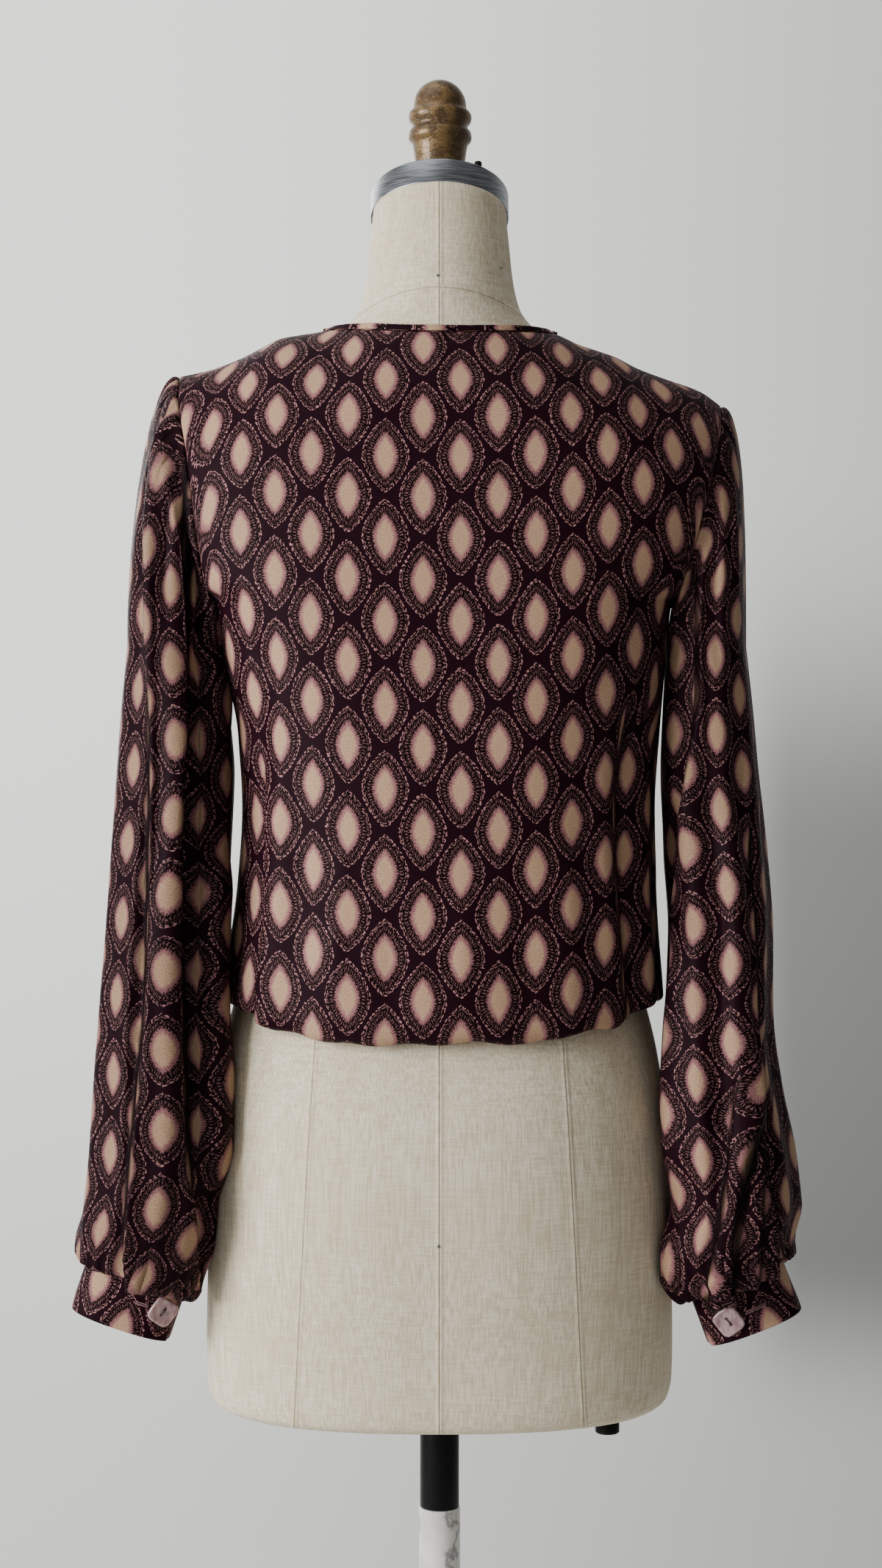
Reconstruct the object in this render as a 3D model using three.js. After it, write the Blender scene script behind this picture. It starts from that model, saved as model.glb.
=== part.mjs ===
// Blouse with full gathered sleeves, standing on a limbless dress form
import * as THREE from 'three';

// Driving dimensions in millimetres. The wearer faces -Y, the wearer's left is +X.
// Heights in the tables are measured from DATUM, a level at the blouse's waist.
const DATUM = 1090;
const WALL = 1.5;
const SEAM_GAP = 0.35;
const ARMHOLE_GAP = 0.7;
const PANEL_COLUMNS = 24;
const ARM_ROWS = 14;
const UNDERARM = 120;
const SHOULDER_LENGTH = 80;
const SHOULDER_SEAM_DROP = 2.6;
const BINDING_HEIGHT = 5;
const BINDING_WALL = 1.8;
const BINDING_GAP = 0.25;
const BINDING_PROUD = 0.2;
const CUFF_HEIGHT = 50;
const BUTTON_SIZE = 17.5;
const BUTTON_WALL = 3;
const POLE_RADIUS = 13.25;
const POLE_SLEEVE_RADIUS = 14;
const BASE_RADIUS = 185;
const BASE_THICKNESS = 14;

// Half widths and depths of the body at each level, side seams at y = 0, and the roundness
// of its outline; above the underarm the outline runs on past the armhole's edge
const BODY = [
  { z: -152, left: 148, right: 151.5, back: 118, front: 123, power: 2.35 },
  { z: -120, left: 144, right: 149.5, back: 119, front: 128, power: 2.35 },
  { z: -67, left: 137, right: 146.5, back: 114, front: 127, power: 2.4 },
  { z: -17, left: 134, right: 145.5, back: 111, front: 129, power: 2.45 },
  { z: 33, left: 136, right: 148.5, back: 108, front: 133, power: 2.6 },
  { z: 83, left: 146, right: 152.5, back: 106, front: 134, power: 2.8 },
  { z: 120, left: 153, right: 156, back: 105, front: 128, power: 3 },
  { z: 130, left: 168, right: 172, back: 104.6, front: 126, power: 2.7 },
  { z: 141, left: 178, right: 184, back: 104.2, front: 124, power: 2.5 },
  { z: 175, left: 192, right: 200, back: 102, front: 117, power: 2.35 },
  { z: 219, left: 199, right: 211, back: 95, front: 105, power: 2.3 },
  { z: 250, left: 202, right: 216, back: 88.5, front: 98, power: 2.3 },
  { z: 276, left: 203, right: 218, back: 84, front: 92, power: 2.3 },
  { z: 330, left: 205, right: 220, back: 83, front: 86, power: 2.3 },
];

// Height of the shoulder ridge over the distance from the centre
const RIDGE = [
  { z: 0, left: 325, right: 324 },
  { z: 40, left: 319.5, right: 318 },
  { z: 60, left: 312.5, right: 311 },
  { z: 81, left: 306, right: 303.5 },
  { z: 94, left: 304, right: 297.5 },
  { z: 108, left: 301.5, right: 293 },
  { z: 118, left: 296.5, right: 289.5 },
  { z: 134, left: 288.5, right: 281.5 },
  { z: 153, left: 281.5, right: 274.5 },
  { z: 176, left: 276.5, right: 266.5 },
  { z: 190, left: 274, right: 257 },
  { z: 215, left: 268, right: 238 },
];

// Distance of the armhole seam from the centre, from the underarm up to the shoulder point
const ARMHOLE = [
  { z: 120, left: 153, right: 156 },
  { z: 126, left: 154, right: 158 },
  { z: 141, left: 156, right: 163 },
  { z: 175, left: 161, right: 173 },
  { z: 219, left: 167, right: 184 },
  { z: 249, left: 173, right: 189.5 },
  { z: 276, left: 176, right: 190.5 },
];

// Neckline: share of the shoulder neck point's distance, and drop below the ridge
const BACK_NECK = { centre: 296, points: [0.94, 0.84, 0.67, 0.47, 0.24, 0] };
const FRONT_NECK = [
  { across: 1, drop: 0.6 },
  { across: 0.99, drop: 6 },
  { across: 0.95, drop: 22 },
  { across: 0.8, drop: 48 },
  { across: 0.45, drop: 76 },
  { across: 0, drop: 90 },
];
const NECK_POINT = { left: 77, right: 78 };
const SHOULDER_POINT = { left: 176, right: 190.5 };

// Soft vertical folds of the body: place across the panel from -1 to 1, half width, depth
const BACK_FOLDS = [
  { at: -0.86, wide: 0.05, deep: -4.5, top: 60 },
  { at: -0.74, wide: 0.05, deep: 3.5, top: 20 },
  { at: -0.62, wide: 0.05, deep: -3.5, top: -20 },
  { at: 0.8, wide: 0.07, deep: -3.5, top: 0 },
  { at: 0.45, wide: 0.08, deep: -2, top: -60 },
  { at: -0.25, wide: 0.08, deep: -2, top: -70 },
  { at: 0.12, wide: 0.08, deep: -1.6, top: -80 },
];
const FRONT_FOLDS = [
  { at: -0.75, wide: 0.07, deep: -4, top: 50 },
  { at: -0.45, wide: 0.08, deep: -4.5, top: 30 },
  { at: -0.15, wide: 0.07, deep: -3, top: -20 },
  { at: 0.2, wide: 0.08, deep: -4, top: 0 },
  { at: 0.52, wide: 0.07, deep: -4.5, top: 40 },
  { at: 0.8, wide: 0.07, deep: -3.5, top: 20 },
];
const SCALLOP_DEPTH = 3;
const SCALLOPS = 7;
const BLOUSON_DROP = { centre: 12, side: 3 };
const FOLD_FADE = 120;
const FOLD_RADIUS = 110;

// The hem's turned-under part, its clearance round the form, and the roll below the panel:
// share of the way in and of the drop
const HEM_TURN = { high: 14, low: 1, clearance: 1.2 };
const HEM_ROLL = [
  { inward: 0.72, drop: 0.75 },
  { inward: 0.4, drop: 1 },
  { inward: 0.12, drop: 0.7 },
];

// Dress form: half width and depths at each level, tilt of the ring forward in degrees
const FORM = [
  { z: -418, wide: 140, back: 88, front: 88, power: 2.4, tilt: 0 },
  { z: -417, wide: 146, back: 94, front: 94, power: 2.4, tilt: 0 },
  { z: -411, wide: 154, back: 100, front: 100, power: 2.4, tilt: 0 },
  { z: -398, wide: 157, back: 102, front: 101.5, power: 2.4, tilt: 0 },
  { z: -372, wide: 157.5, back: 104, front: 102, power: 2.4, tilt: 0 },
  { z: -317, wide: 156.5, back: 112, front: 104, power: 2.4, tilt: 0 },
  { z: -262, wide: 155, back: 116, front: 106, power: 2.35, tilt: 0 },
  { z: -217, wide: 152.5, back: 113, front: 107, power: 2.3, tilt: 0 },
  { z: -182, wide: 147.5, back: 105, front: 105, power: 2.3, tilt: 0 },
  { z: -150, wide: 140, back: 93, front: 101, power: 2.25, tilt: 0 },
  { z: -115, wide: 128, back: 80, front: 96, power: 2.2, tilt: 0 },
  { z: -73, wide: 116, back: 71, front: 91, power: 2.1, tilt: 0 },
  { z: -30, wide: 120, back: 75, front: 96, power: 2.15, tilt: 0 },
  { z: 20, wide: 130, back: 83, front: 108, power: 2.2, tilt: 0 },
  { z: 70, wide: 140, back: 91, front: 121, power: 2.3, tilt: 0 },
  { z: 110, wide: 145, back: 95, front: 120, power: 2.4, tilt: 0 },
  { z: 150, wide: 148, back: 96, front: 112, power: 2.4, tilt: 0 },
  { z: 200, wide: 158, back: 91, front: 98, power: 2.3, tilt: 0 },
  { z: 235, wide: 167, back: 82, front: 88, power: 2.1, tilt: 0 },
  { z: 252, wide: 166, back: 75, front: 80, power: 2, tilt: 0 },
  { z: 263, wide: 156, back: 69, front: 72, power: 1.9, tilt: 0 },
  { z: 273, wide: 134, back: 65, front: 66, power: 1.9, tilt: 0 },
  { z: 284, wide: 110, back: 61, front: 61, power: 1.9, tilt: 0 },
  { z: 294, wide: 84, back: 58, front: 56, power: 2, tilt: 1 },
  { z: 305, wide: 67, back: 55, front: 52, power: 2, tilt: 3 },
  { z: 320, wide: 55, back: 52.5, front: 49, power: 2, tilt: 6 },
  { z: 340, wide: 50, back: 46, front: 51, power: 2, tilt: 10 },
  { z: 362, wide: 47.5, back: 40, front: 52, power: 2, tilt: 15 },
  { z: 385, wide: 45, back: 37, front: 53, power: 2, tilt: 19 },
];
const FORM_COLUMNS = 32;
const NECK_CAP = { radius: 47.25, thickness: 18, y: -8, z: 385, tilt: 19 };
const CAP_BOLT = { radius: 2.6, high: 5, x: -26, back: 34 };
const FORM_KNOB = { radius: 8, high: 7, x: -110, y: 58 };
const FORM_BOTTOM = FORM[0].z;
const POLE_JOINT = -491;
const SOCKET_HEIGHT = 44;

// Turned knob: cup, two rings and a dome, heights above the cap's middle
const FINIAL_SIDES = 24;
const FINIAL_FOOT = 14;
const FINIAL = [
  { up: 32, radius: 15 },
  { up: 38, radius: 17 },
  { up: 48, radius: 18.6 },
  { up: 52, radius: 19.4 },
  { up: 54, radius: 21.4 },
  { up: 57, radius: 22 },
  { up: 60, radius: 21.4 },
  { up: 62, radius: 19.6 },
  { up: 64.5, radius: 19.4 },
  { up: 67, radius: 21.3 },
  { up: 70, radius: 22 },
  { up: 73, radius: 21.2 },
  { up: 75.5, radius: 18.6 },
  { up: 80, radius: 18.2 },
  { up: 85, radius: 16.2 },
  { up: 90, radius: 12.8 },
  { up: 94, radius: 8.2 },
  { up: 96, radius: 3.4 },
];

// Base plate with its socket: radius and height of each corner of its section
const BASE_SECTION = [
  { radius: 0, high: 0 },
  { radius: BASE_RADIUS - 2, high: 0 },
  { radius: BASE_RADIUS, high: 2 },
  { radius: BASE_RADIUS, high: BASE_THICKNESS - 3 },
  { radius: BASE_RADIUS - 3, high: BASE_THICKNESS },
  { radius: 24, high: BASE_THICKNESS + 3 },
  { radius: 21, high: BASE_THICKNESS + 6 },
  { radius: 20, high: SOCKET_HEIGHT },
  { radius: 0, high: SOCKET_HEIGHT },
];

// Sleeves at each level: distances of the outer and inner edge, centre and half depth
const SLEEVES = {
  left: [
    { z: 92, outer: 212, inner: 150, y: 4, deep: 60 },
    { z: 50, outer: 215.5, inner: 142, y: 8, deep: 57 },
    { z: 5, outer: 218.5, inner: 137.5, y: 12, deep: 55 },
    { z: -45, outer: 221.5, inner: 139, y: 18, deep: 54 },
    { z: -95, outer: 223.5, inner: 142, y: 25, deep: 54 },
    { z: -145, outer: 226, inner: 142, y: 33, deep: 55 },
    { z: -195, outer: 229, inner: 138, y: 39, deep: 56 },
    { z: -240, outer: 231.5, inner: 138, y: 43, deep: 56 },
    { z: -278, outer: 235, inner: 143, y: 45, deep: 55 },
  ],
  right: [
    { z: 92, outer: 206, inner: 154, y: 4, deep: 60 },
    { z: 50, outer: 210, inner: 151, y: 8, deep: 57 },
    { z: 5, outer: 213.5, inner: 149, y: 12, deep: 55 },
    { z: -45, outer: 219, inner: 149.5, y: 18, deep: 54 },
    { z: -95, outer: 222, inner: 152, y: 25, deep: 54 },
    { z: -145, outer: 221, inner: 151, y: 33, deep: 55 },
    { z: -195, outer: 226, inner: 150, y: 39, deep: 56 },
    { z: -240, outer: 234, inner: 151, y: 43, deep: 56 },
    { z: -278, outer: 238, inner: 151, y: 45, deep: 54 },
  ],
};
const SLEEVE_FOLDS = {
  left: [
    { angle: 69, wide: 11, deep: 5 },
    { angle: 100, wide: 9, deep: 4.5 },
    { angle: 126, wide: 9, deep: 3.5 },
    { angle: 30, wide: 12, deep: 3 },
    { angle: -25, wide: 14, deep: 4 },
    { angle: -68, wide: 12, deep: 4.5 },
    { angle: -110, wide: 12, deep: 4 },
  ],
  right: [
    { angle: 48, wide: 12, deep: 4 },
    { angle: 84, wide: 10, deep: 4.5 },
    { angle: 117, wide: 10, deep: 4.5 },
    { angle: 12, wide: 12, deep: 3 },
    { angle: -35, wide: 13, deep: 4 },
    { angle: -80, wide: 12, deep: 4.5 },
    { angle: -120, wide: 11, deep: 3.5 },
  ],
};
const SLEEVE_POWER = 2.2;
const SLEEVE_CLEARANCE = 1.5;

// The sleeve's cap leaves the armhole and comes down on the first ring; each pair of numbers
// is for the underarm and for the shoulder
const CAP_STEPS = [0.14, 0.34, 0.56, 0.78];
const CAP_LIFT = [8, 16];
const CAP_OUT = [5, 3];
const CAP_RISE = [2, 7];
const CAP_FALL = [14, 95];
const CAP_GATHER = { deep: 2.08, shallow: 0.78, from: 0.45, deepSteps: 2 };
const CAP_CLEARANCE = 1.2;
const CUFF_GATHER = 1.7;

// Cuff rings: centre of the lower edge, lean outwards in degrees, half width and depth
const CUFFS = {
  left: { x: 211, y: 40, z: -356, lean: 18.5, wide: 34, deep: 23 },
  right: { x: 208.5, y: 40, z: -358, lean: 21, wide: 33, deep: 23 },
};
const CUFF_POWER = 2.6;
const CUFF_WIND = { from: 250, over: 90 };
const SLEEVE_STEP = 180 / ARM_ROWS;
const CUFF_START = 8 * SLEEVE_STEP;
const CUFF_STEPS = 32;
const CUFF_LAP = WALL + 0.4;
const POUF = [
  { above: 52, wide: 46, deep: 51, lean: 0.55, gather: 0.5 },
  { above: 34, wide: 41, deep: 45, lean: 1, gather: 1 },
];
const POUF_RETURN = { above: 40, gap: 2.6 };
const BUTTON_CORNER = 4.5;
const BUTTON_HOLE = { radius: 1, away: 2.3 };
const BUTTONS = {
  left: { around: 127, above: 20, turn: -20 },
  right: { around: 110, above: 14, turn: 18 },
};

const printedCloth = new THREE.MeshStandardMaterial({ color: 0x5a3a42, roughness: 0.6 });
const linen = new THREE.MeshStandardMaterial({ color: 0xcdc4b2, roughness: 0.9 });
const brushedMetal = new THREE.MeshStandardMaterial({ color: 0xa9adb2, roughness: 0.35, metalness: 1 });
const bronzePaint = new THREE.MeshStandardMaterial({ color: 0x7a6142, roughness: 0.5, metalness: 0.4 });
const blackPaint = new THREE.MeshStandardMaterial({ color: 0x0c0c0d, roughness: 0.35 });
const marble = new THREE.MeshStandardMaterial({ color: 0xe6e4e0, roughness: 0.3 });
const shell = new THREE.MeshStandardMaterial({ color: 0xa88a8c, roughness: 0.35 });

const radians = (degrees) => degrees * Math.PI / 180;
const mix = (a, b, t) => a + (b - a) * t;
const vec = (x, y, z) => new THREE.Vector3(x, y, z);

// Smooth curve through a table's column that never overshoots its rows
function smoothCurve(table, column) {
  const z = table.map((row) => row.z);
  const v = table.map((row) => row[column]);
  const last = z.length - 1;
  const step = z.slice(1).map((next, k) => (v[k + 1] - v[k]) / (next - z[k]));
  const slope = z.map((_, k) => {
    if (k === 0) return step[0];
    if (k === last) return step[last - 1];
    if (step[k - 1] * step[k] <= 0) return 0;
    return 2 * step[k - 1] * step[k] / (step[k - 1] + step[k]);
  });
  return (at) => {
    const h = Math.min(Math.max(at, z[0]), z[last]);
    let k = 0;
    while (k < last - 1 && h > z[k + 1]) k += 1;
    const span = z[k + 1] - z[k];
    const t = (h - z[k]) / span;
    const rise = t * t * (3 - 2 * t);
    return mix(v[k], v[k + 1], rise)
      + span * (t * (1 - t) ** 2 * slope[k] - t * t * (1 - t) * slope[k + 1]);
  };
}

const sideOf = (x) => (x >= 0 ? 'left' : 'right');
const bodyWidth = { left: smoothCurve(BODY, 'left'), right: smoothCurve(BODY, 'right') };
const bodyDepth = { back: smoothCurve(BODY, 'back'), front: smoothCurve(BODY, 'front') };
const ridge = { left: smoothCurve(RIDGE, 'left'), right: smoothCurve(RIDGE, 'right') };
const armhole = { left: smoothCurve(ARMHOLE, 'left'), right: smoothCurve(ARMHOLE, 'right') };
const bodyPower = smoothCurve(BODY, 'power');
const formWidth = smoothCurve(FORM, 'wide');
const formPower = smoothCurve(FORM, 'power');
const formDepth = { back: smoothCurve(FORM, 'back'), front: smoothCurve(FORM, 'front') };

// Depth of the body's surface behind or before the side seams
function surfaceDepth(face, x, z) {
  const side = sideOf(x);
  const power = bodyPower(z);
  const share = Math.min(Math.abs(x) / bodyWidth[side](z), 1);
  const round = (1 - share ** power) ** (1 / power);
  const drop = Math.max(ridge[side](Math.abs(x)) - z, 0);
  const over = 1 - Math.min(drop / SHOULDER_LENGTH, 1);
  return bodyDepth[face](z) * round * Math.sqrt(1 - over * over);
}

const middleOf = (points) => {
  const middle = vec(0, 0, 0);
  points.forEach((point) => middle.add(point));
  return middle.divideScalar(points.length);
};

// Outward normals of a grid of points; rows run up, columns across or all round
function gridNormals(grid, round, axis) {
  const rows = grid.length;
  const columns = grid[0].length;
  const wrap = (c) => (round ? (c + columns) % columns : Math.min(Math.max(c, 0), columns - 1));
  const clampRow = (r) => Math.min(Math.max(r, 0), rows - 1);
  let outward = 0;
  const normals = grid.map((row, r) => row.map((point, c) => {
    const across = grid[r][wrap(c + 1)].clone().sub(grid[r][wrap(c - 1)]);
    const up = grid[clampRow(r + 1)][c].clone().sub(grid[clampRow(r - 1)][c]);
    const normal = across.cross(up).normalize();
    outward += Math.sign(point.clone().sub(axis(r)).dot(normal));
    return normal;
  }));
  if (outward < 0) normals.flat().forEach((normal) => normal.negate());
  return normals;
}

// Closed wall behind a grid of outer points
function wallSolid(grid, normals, round) {
  const rows = grid.length;
  const columns = grid[0].length;
  const vertices = [];
  const put = (point) => vertices.push(point.x, point.y, point.z) / 3 - 1;
  const outer = grid.map((row) => row.map(put));
  const inner = grid.map((row, r) => row.map((point, c) => put(
    point.clone().addScaledVector(normals[r][c], -WALL))));
  const faces = [];
  const quad = (a, b, c, d) => faces.push(a, b, c, a, c, d);
  const cells = round ? columns : columns - 1;
  for (let r = 0; r < rows - 1; r += 1) {
    for (let c = 0; c < cells; c += 1) {
      const n = (c + 1) % columns;
      quad(outer[r][c], outer[r][n], outer[r + 1][n], outer[r + 1][c]);
      quad(inner[r][c], inner[r + 1][c], inner[r + 1][n], inner[r][n]);
    }
    if (!round) {
      const e = columns - 1;
      quad(outer[r][0], outer[r + 1][0], inner[r + 1][0], inner[r][0]);
      quad(outer[r][e], inner[r][e], inner[r + 1][e], outer[r + 1][e]);
    }
  }
  for (let c = 0; c < cells; c += 1) {
    const n = (c + 1) % columns;
    const t = rows - 1;
    quad(outer[0][c], inner[0][c], inner[0][n], outer[0][n]);
    quad(outer[t][c], outer[t][n], inner[t][n], inner[t][c]);
  }
  return solidGeometry(vertices, faces);
}

// Geometry with its faces turned outwards
function solidGeometry(vertices, faces) {
  const at = (k) => vec(vertices[3 * k], vertices[3 * k + 1], vertices[3 * k + 2]);
  let volume = 0;
  for (let f = 0; f < faces.length; f += 3) {
    volume += at(faces[f]).dot(at(faces[f + 1]).cross(at(faces[f + 2])));
  }
  if (volume < 0) faces.reverse();
  const geometry = new THREE.BufferGeometry();
  geometry.setAttribute('position', new THREE.Float32BufferAttribute(vertices, 3));
  geometry.setIndex(faces);
  geometry.computeVertexNormals();
  return geometry;
}

// Solid through a stack of closed rings, with a flat fan on each end
function stackSolid(rings) {
  const vertices = [];
  const put = (point) => vertices.push(point.x, point.y, point.z) / 3 - 1;
  const index = rings.map((ring) => ring.map(put));
  const faces = [];
  const count = rings[0].length;
  for (let r = 0; r < rings.length - 1; r += 1) {
    for (let c = 0; c < count; c += 1) {
      const n = (c + 1) % count;
      faces.push(index[r][c], index[r][n], index[r + 1][n]);
      faces.push(index[r][c], index[r + 1][n], index[r + 1][c]);
    }
  }
  [0, rings.length - 1].forEach((r) => {
    const middle = vec(0, 0, 0);
    rings[r].forEach((point) => middle.add(point));
    const hub = put(middle.divideScalar(count));
    for (let c = 0; c < count; c += 1) {
      const n = (c + 1) % count;
      if (r === 0) faces.push(hub, index[r][n], index[r][c]);
      else faces.push(hub, index[r][c], index[r][n]);
    }
  });
  return solidGeometry(vertices, faces);
}

// Rows of the armhole are closer together at the underarm and the shoulder
const armShare = (k, last) => (1 - Math.cos(Math.PI * k / last)) / 2;

// Where each column ends at the top of a panel
function columnTop(face, c) {
  const middle = PANEL_COLUMNS / 2;
  const side = c >= middle ? 'left' : 'right';
  const sign = side === 'left' ? 1 : -1;
  const fromEdge = Math.min(c, PANEL_COLUMNS - c);
  const neckColumn = middle / 2;
  const neck = NECK_POINT[side];
  if (fromEdge <= neckColumn) {
    const x = mix(SHOULDER_POINT[side], neck, fromEdge / neckColumn);
    const drop = face === 'back' ? SHOULDER_SEAM_DROP : 0;
    return { x: sign * x, z: ridge[side](x) - drop, shoulder: true };
  }
  if (face === 'back') {
    const across = BACK_NECK.points[fromEdge - neckColumn - 1];
    const end = ridge[side](neck) - SHOULDER_SEAM_DROP;
    return { x: sign * neck * across, z: mix(BACK_NECK.centre, end, across ** 2), shoulder: false };
  }
  const { across, drop } = FRONT_NECK[fromEdge - neckColumn - 1];
  return { x: sign * neck * across, z: ridge[side](neck) - drop, shoulder: false };
}

function foldDepth(folds, across, z) {
  return folds.reduce((sum, fold) => {
    const reach = Math.min(Math.max((fold.top - z) / FOLD_FADE, 0), 1);
    return sum + fold.deep * reach * Math.exp(-(((across - fold.at) / fold.wide) ** 2));
  }, 0);
}

// Outer points of the back or front, from the turned-under hem to the shoulders and neckline
function panelGrid(face) {
  const sign = face === 'back' ? 1 : -1;
  const folds = face === 'back' ? BACK_FOLDS : FRONT_FOLDS;
  const middle = PANEL_COLUMNS / 2;
  const levels = [-152, -130, -100, -65, -25, 15, 55, 90];
  const columns = [...Array(PANEL_COLUMNS + 1).keys()];
  const around = columns.map((c) => Math.sin(Math.PI / 2 * (c - middle) / middle));
  const level = (z) => columns.map((c) => {
    const across = around[c];
    const side = sideOf(across);
    const x = bodyWidth[side](z) * across;
    const fold = foldDepth(folds, (c - middle) / middle, z);
    const depth = surfaceDepth(face, x, z);
    const edge = Math.min((1 - Math.abs(across)) * 8, 1);
    const scale = 1 + fold * edge / FOLD_RADIUS;
    return vec(x * scale, sign * (depth * scale + SEAM_GAP / 2), z);
  });
  const hem = level(levels[0]);
  // The turned-under part lies round the form, the roll hangs below between the two
  const snug = (z) => columns.map((c) => {
    const turn = Math.PI / 2 * (c - middle) / middle;
    const wide = formWidth(z) + HEM_TURN.clearance;
    const deep = formDepth[face](z) + HEM_TURN.clearance;
    const x = wide * Math.sin(turn);
    const power = formPower(z);
    const y = deep * (1 - Math.abs(Math.sin(turn)) ** power) ** (1 / power);
    return vec(x, sign * (y + SEAM_GAP / 2), z);
  });
  const roll = ({ inward, drop }) => columns.map((c) => {
    const inner = snug(levels[0])[c];
    const across = (c - middle) / middle;
    const side = Math.abs(across) ** 3;
    const scallop = SCALLOP_DEPTH * Math.cos(Math.PI * SCALLOPS * across) * (1 - side);
    const low = mix(BLOUSON_DROP.centre, BLOUSON_DROP.side, side) + scallop;
    const point = hem[c].clone().lerp(inner, inward);
    point.z = levels[0] - drop * low;
    return point;
  });
  const rows = [snug(levels[0] + HEM_TURN.high), snug(levels[0] + HEM_TURN.low)];
  HEM_ROLL.forEach((step) => rows.push(roll(step)));
  levels.forEach((z) => rows.push(level(z)));
  const armRows = face === 'back' ? ARM_ROWS : ARM_ROWS - 1;
  const tops = columns.map((c) => columnTop(face, c));
  for (let k = 0; k <= ARM_ROWS; k += 1) {
    rows.push(columns.map((c) => {
      const top = tops[c];
      const last = top.shoulder ? armRows : ARM_ROWS;
      const share = armShare(Math.min(k, last), last);
      const side = c >= middle ? 'left' : 'right';
      const edgeTop = tops[c >= middle ? PANEL_COLUMNS : 0];
      const edge = armhole[side](mix(UNDERARM, edgeTop.z, share));
      const f = mix(Math.abs(around[c]), Math.abs(top.x / edgeTop.x), share);
      const x = edge * f * Math.sign(top.x);
      const z = mix(UNDERARM, top.z, share);
      if (k > last) {
        const low = ridge[side](Math.abs(top.x)) - SHOULDER_SEAM_DROP;
        return vec(top.x, surfaceDepth('back', top.x, low), low);
      }
      return vec(x, sign * (surfaceDepth(face, x, z) + SEAM_GAP / 2 * (1 - share)), z);
    }));
  }
  return rows;
}

const FIRST_ARM_ROW = 13;

// A panel's points and normals; the side seams' ends face straight across
function makePanel(face) {
  const grid = panelGrid(face);
  const axis = (r) => vec(0, 0, grid[r][PANEL_COLUMNS / 2].z);
  const normals = gridNormals(grid, false, axis);
  normals.slice(0, FIRST_ARM_ROW + 1).forEach((row) => {
    [row[0], row[PANEL_COLUMNS]].forEach((normal) => {
      normal.y = 0;
      normal.normalize();
    });
  });
  return { face, grid, normals };
}

const backPanel = makePanel('back');
const frontPanel = makePanel('front');

// Both panels face the same way along their common shoulder seams
backPanel.normals.at(-1).forEach((normal, c) => {
  if (Math.min(c, PANEL_COLUMNS - c) > PANEL_COLUMNS / 4) return;
  const shared = normal.clone().add(frontPanel.normals.at(-1)[c]).normalize();
  normal.copy(shared);
  frontPanel.normals.at(-1)[c].copy(shared);
});

// Pulls a panel's top edge back by the seam gap, half of it at the shoulder seams
function trimmedTop({ face, grid, normals }) {
  const last = grid.length - 1;
  const sign = face === 'back' ? 1 : -1;
  const neckColumn = PANEL_COLUMNS / 4;
  return grid.map((row, r) => row.map((point, c) => {
    if (r < last) return point.clone();
    const along = row[Math.min(c + 1, PANEL_COLUMNS)].clone().sub(row[Math.max(c - 1, 0)]);
    const out = along.cross(normals[r][c]).normalize().multiplyScalar(sign);
    const onShoulder = Math.min(c, PANEL_COLUMNS - c) < neckColumn;
    return point.clone().addScaledVector(out, onShoulder ? -SEAM_GAP / 2 : -SEAM_GAP);
  }));
}

function panel(made) {
  const mesh = new THREE.Mesh(wallSolid(trimmedTop(made), made.normals, false), printedCloth);
  mesh.name = `blouse_${made.face}`;
  return mesh;
}

// Direction out of a loop's edge along the cloth
function edgeDirections(loop, outward) {
  const count = loop.length;
  return loop.map(({ normal }, k) => {
    const along = loop[(k + 1) % count].point.clone().sub(loop[(k + count - 1) % count].point);
    return normal.clone().cross(along).normalize().multiplyScalar(outward);
  });
}

// Keeps a sleeve's point outside the body or the form beside it
function clearOfBody(point, side, margin) {
  const sign = side === 'left' ? 1 : -1;
  const face = point.y >= 0 ? 'back' : 'front';
  const onBlouse = point.z > -166;
  if (point.z > UNDERARM) return point;
  const level = Math.max(point.z, onBlouse ? -152 : -418);
  const wide = onBlouse ? bodyWidth[side](level) : formWidth(level);
  const deep = (onBlouse ? bodyDepth[face](level) : formDepth[face](level)) + margin;
  const share = Math.min(Math.abs(point.y) / deep, 1);
  const power = onBlouse ? bodyPower(level) : formPower(level);
  const limit = (wide + margin) * (1 - share ** power) ** (1 / power);
  const x = Math.max(sign * point.x, limit);
  return vec(sign * x, point.y, point.z);
}

function cuffFrame(side) {
  const sign = side === 'left' ? 1 : -1;
  const { x, y, z, lean } = CUFFS[side];
  const up = vec(-sign * Math.sin(radians(lean)), 0, Math.cos(radians(lean)));
  const across = vec(sign * Math.cos(radians(lean)), 0, Math.sin(radians(lean)));
  return { foot: vec(sign * x, y, z), up, across };
}

const rounded = (value, power) => Math.sign(value) * Math.abs(value) ** (2 / power);
const roundedCos = (turn, power) => rounded(Math.cos(turn), power);
const roundedSin = (turn, power) => rounded(Math.sin(turn), power);

function cuffPoint(side, degrees, above, grow = 0) {
  const { foot, up, across } = cuffFrame(side);
  const { wide, deep } = CUFFS[side];
  const turn = radians(degrees);
  return foot.clone()
    .addScaledVector(up, above)
    .addScaledVector(across, (wide + grow) * roundedCos(turn, CUFF_POWER))
    .add(vec(0, (deep + grow) * roundedSin(turn, CUFF_POWER), 0));
}

// The cuff's band winds outwards before its end laps over its start
function lapGrowth(turned) {
  const share = (turned - CUFF_WIND.from) / CUFF_WIND.over;
  return CUFF_LAP * Math.min(Math.max(share, 0), 1);
}

function cuffLapAt(degrees) {
  const turned = (degrees - CUFF_START + 720) % 360;
  const lapped = turned + 360 <= CUFF_STEPS * SLEEVE_STEP + 0.01;
  return lapGrowth(lapped ? turned + 360 : turned);
}

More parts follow.
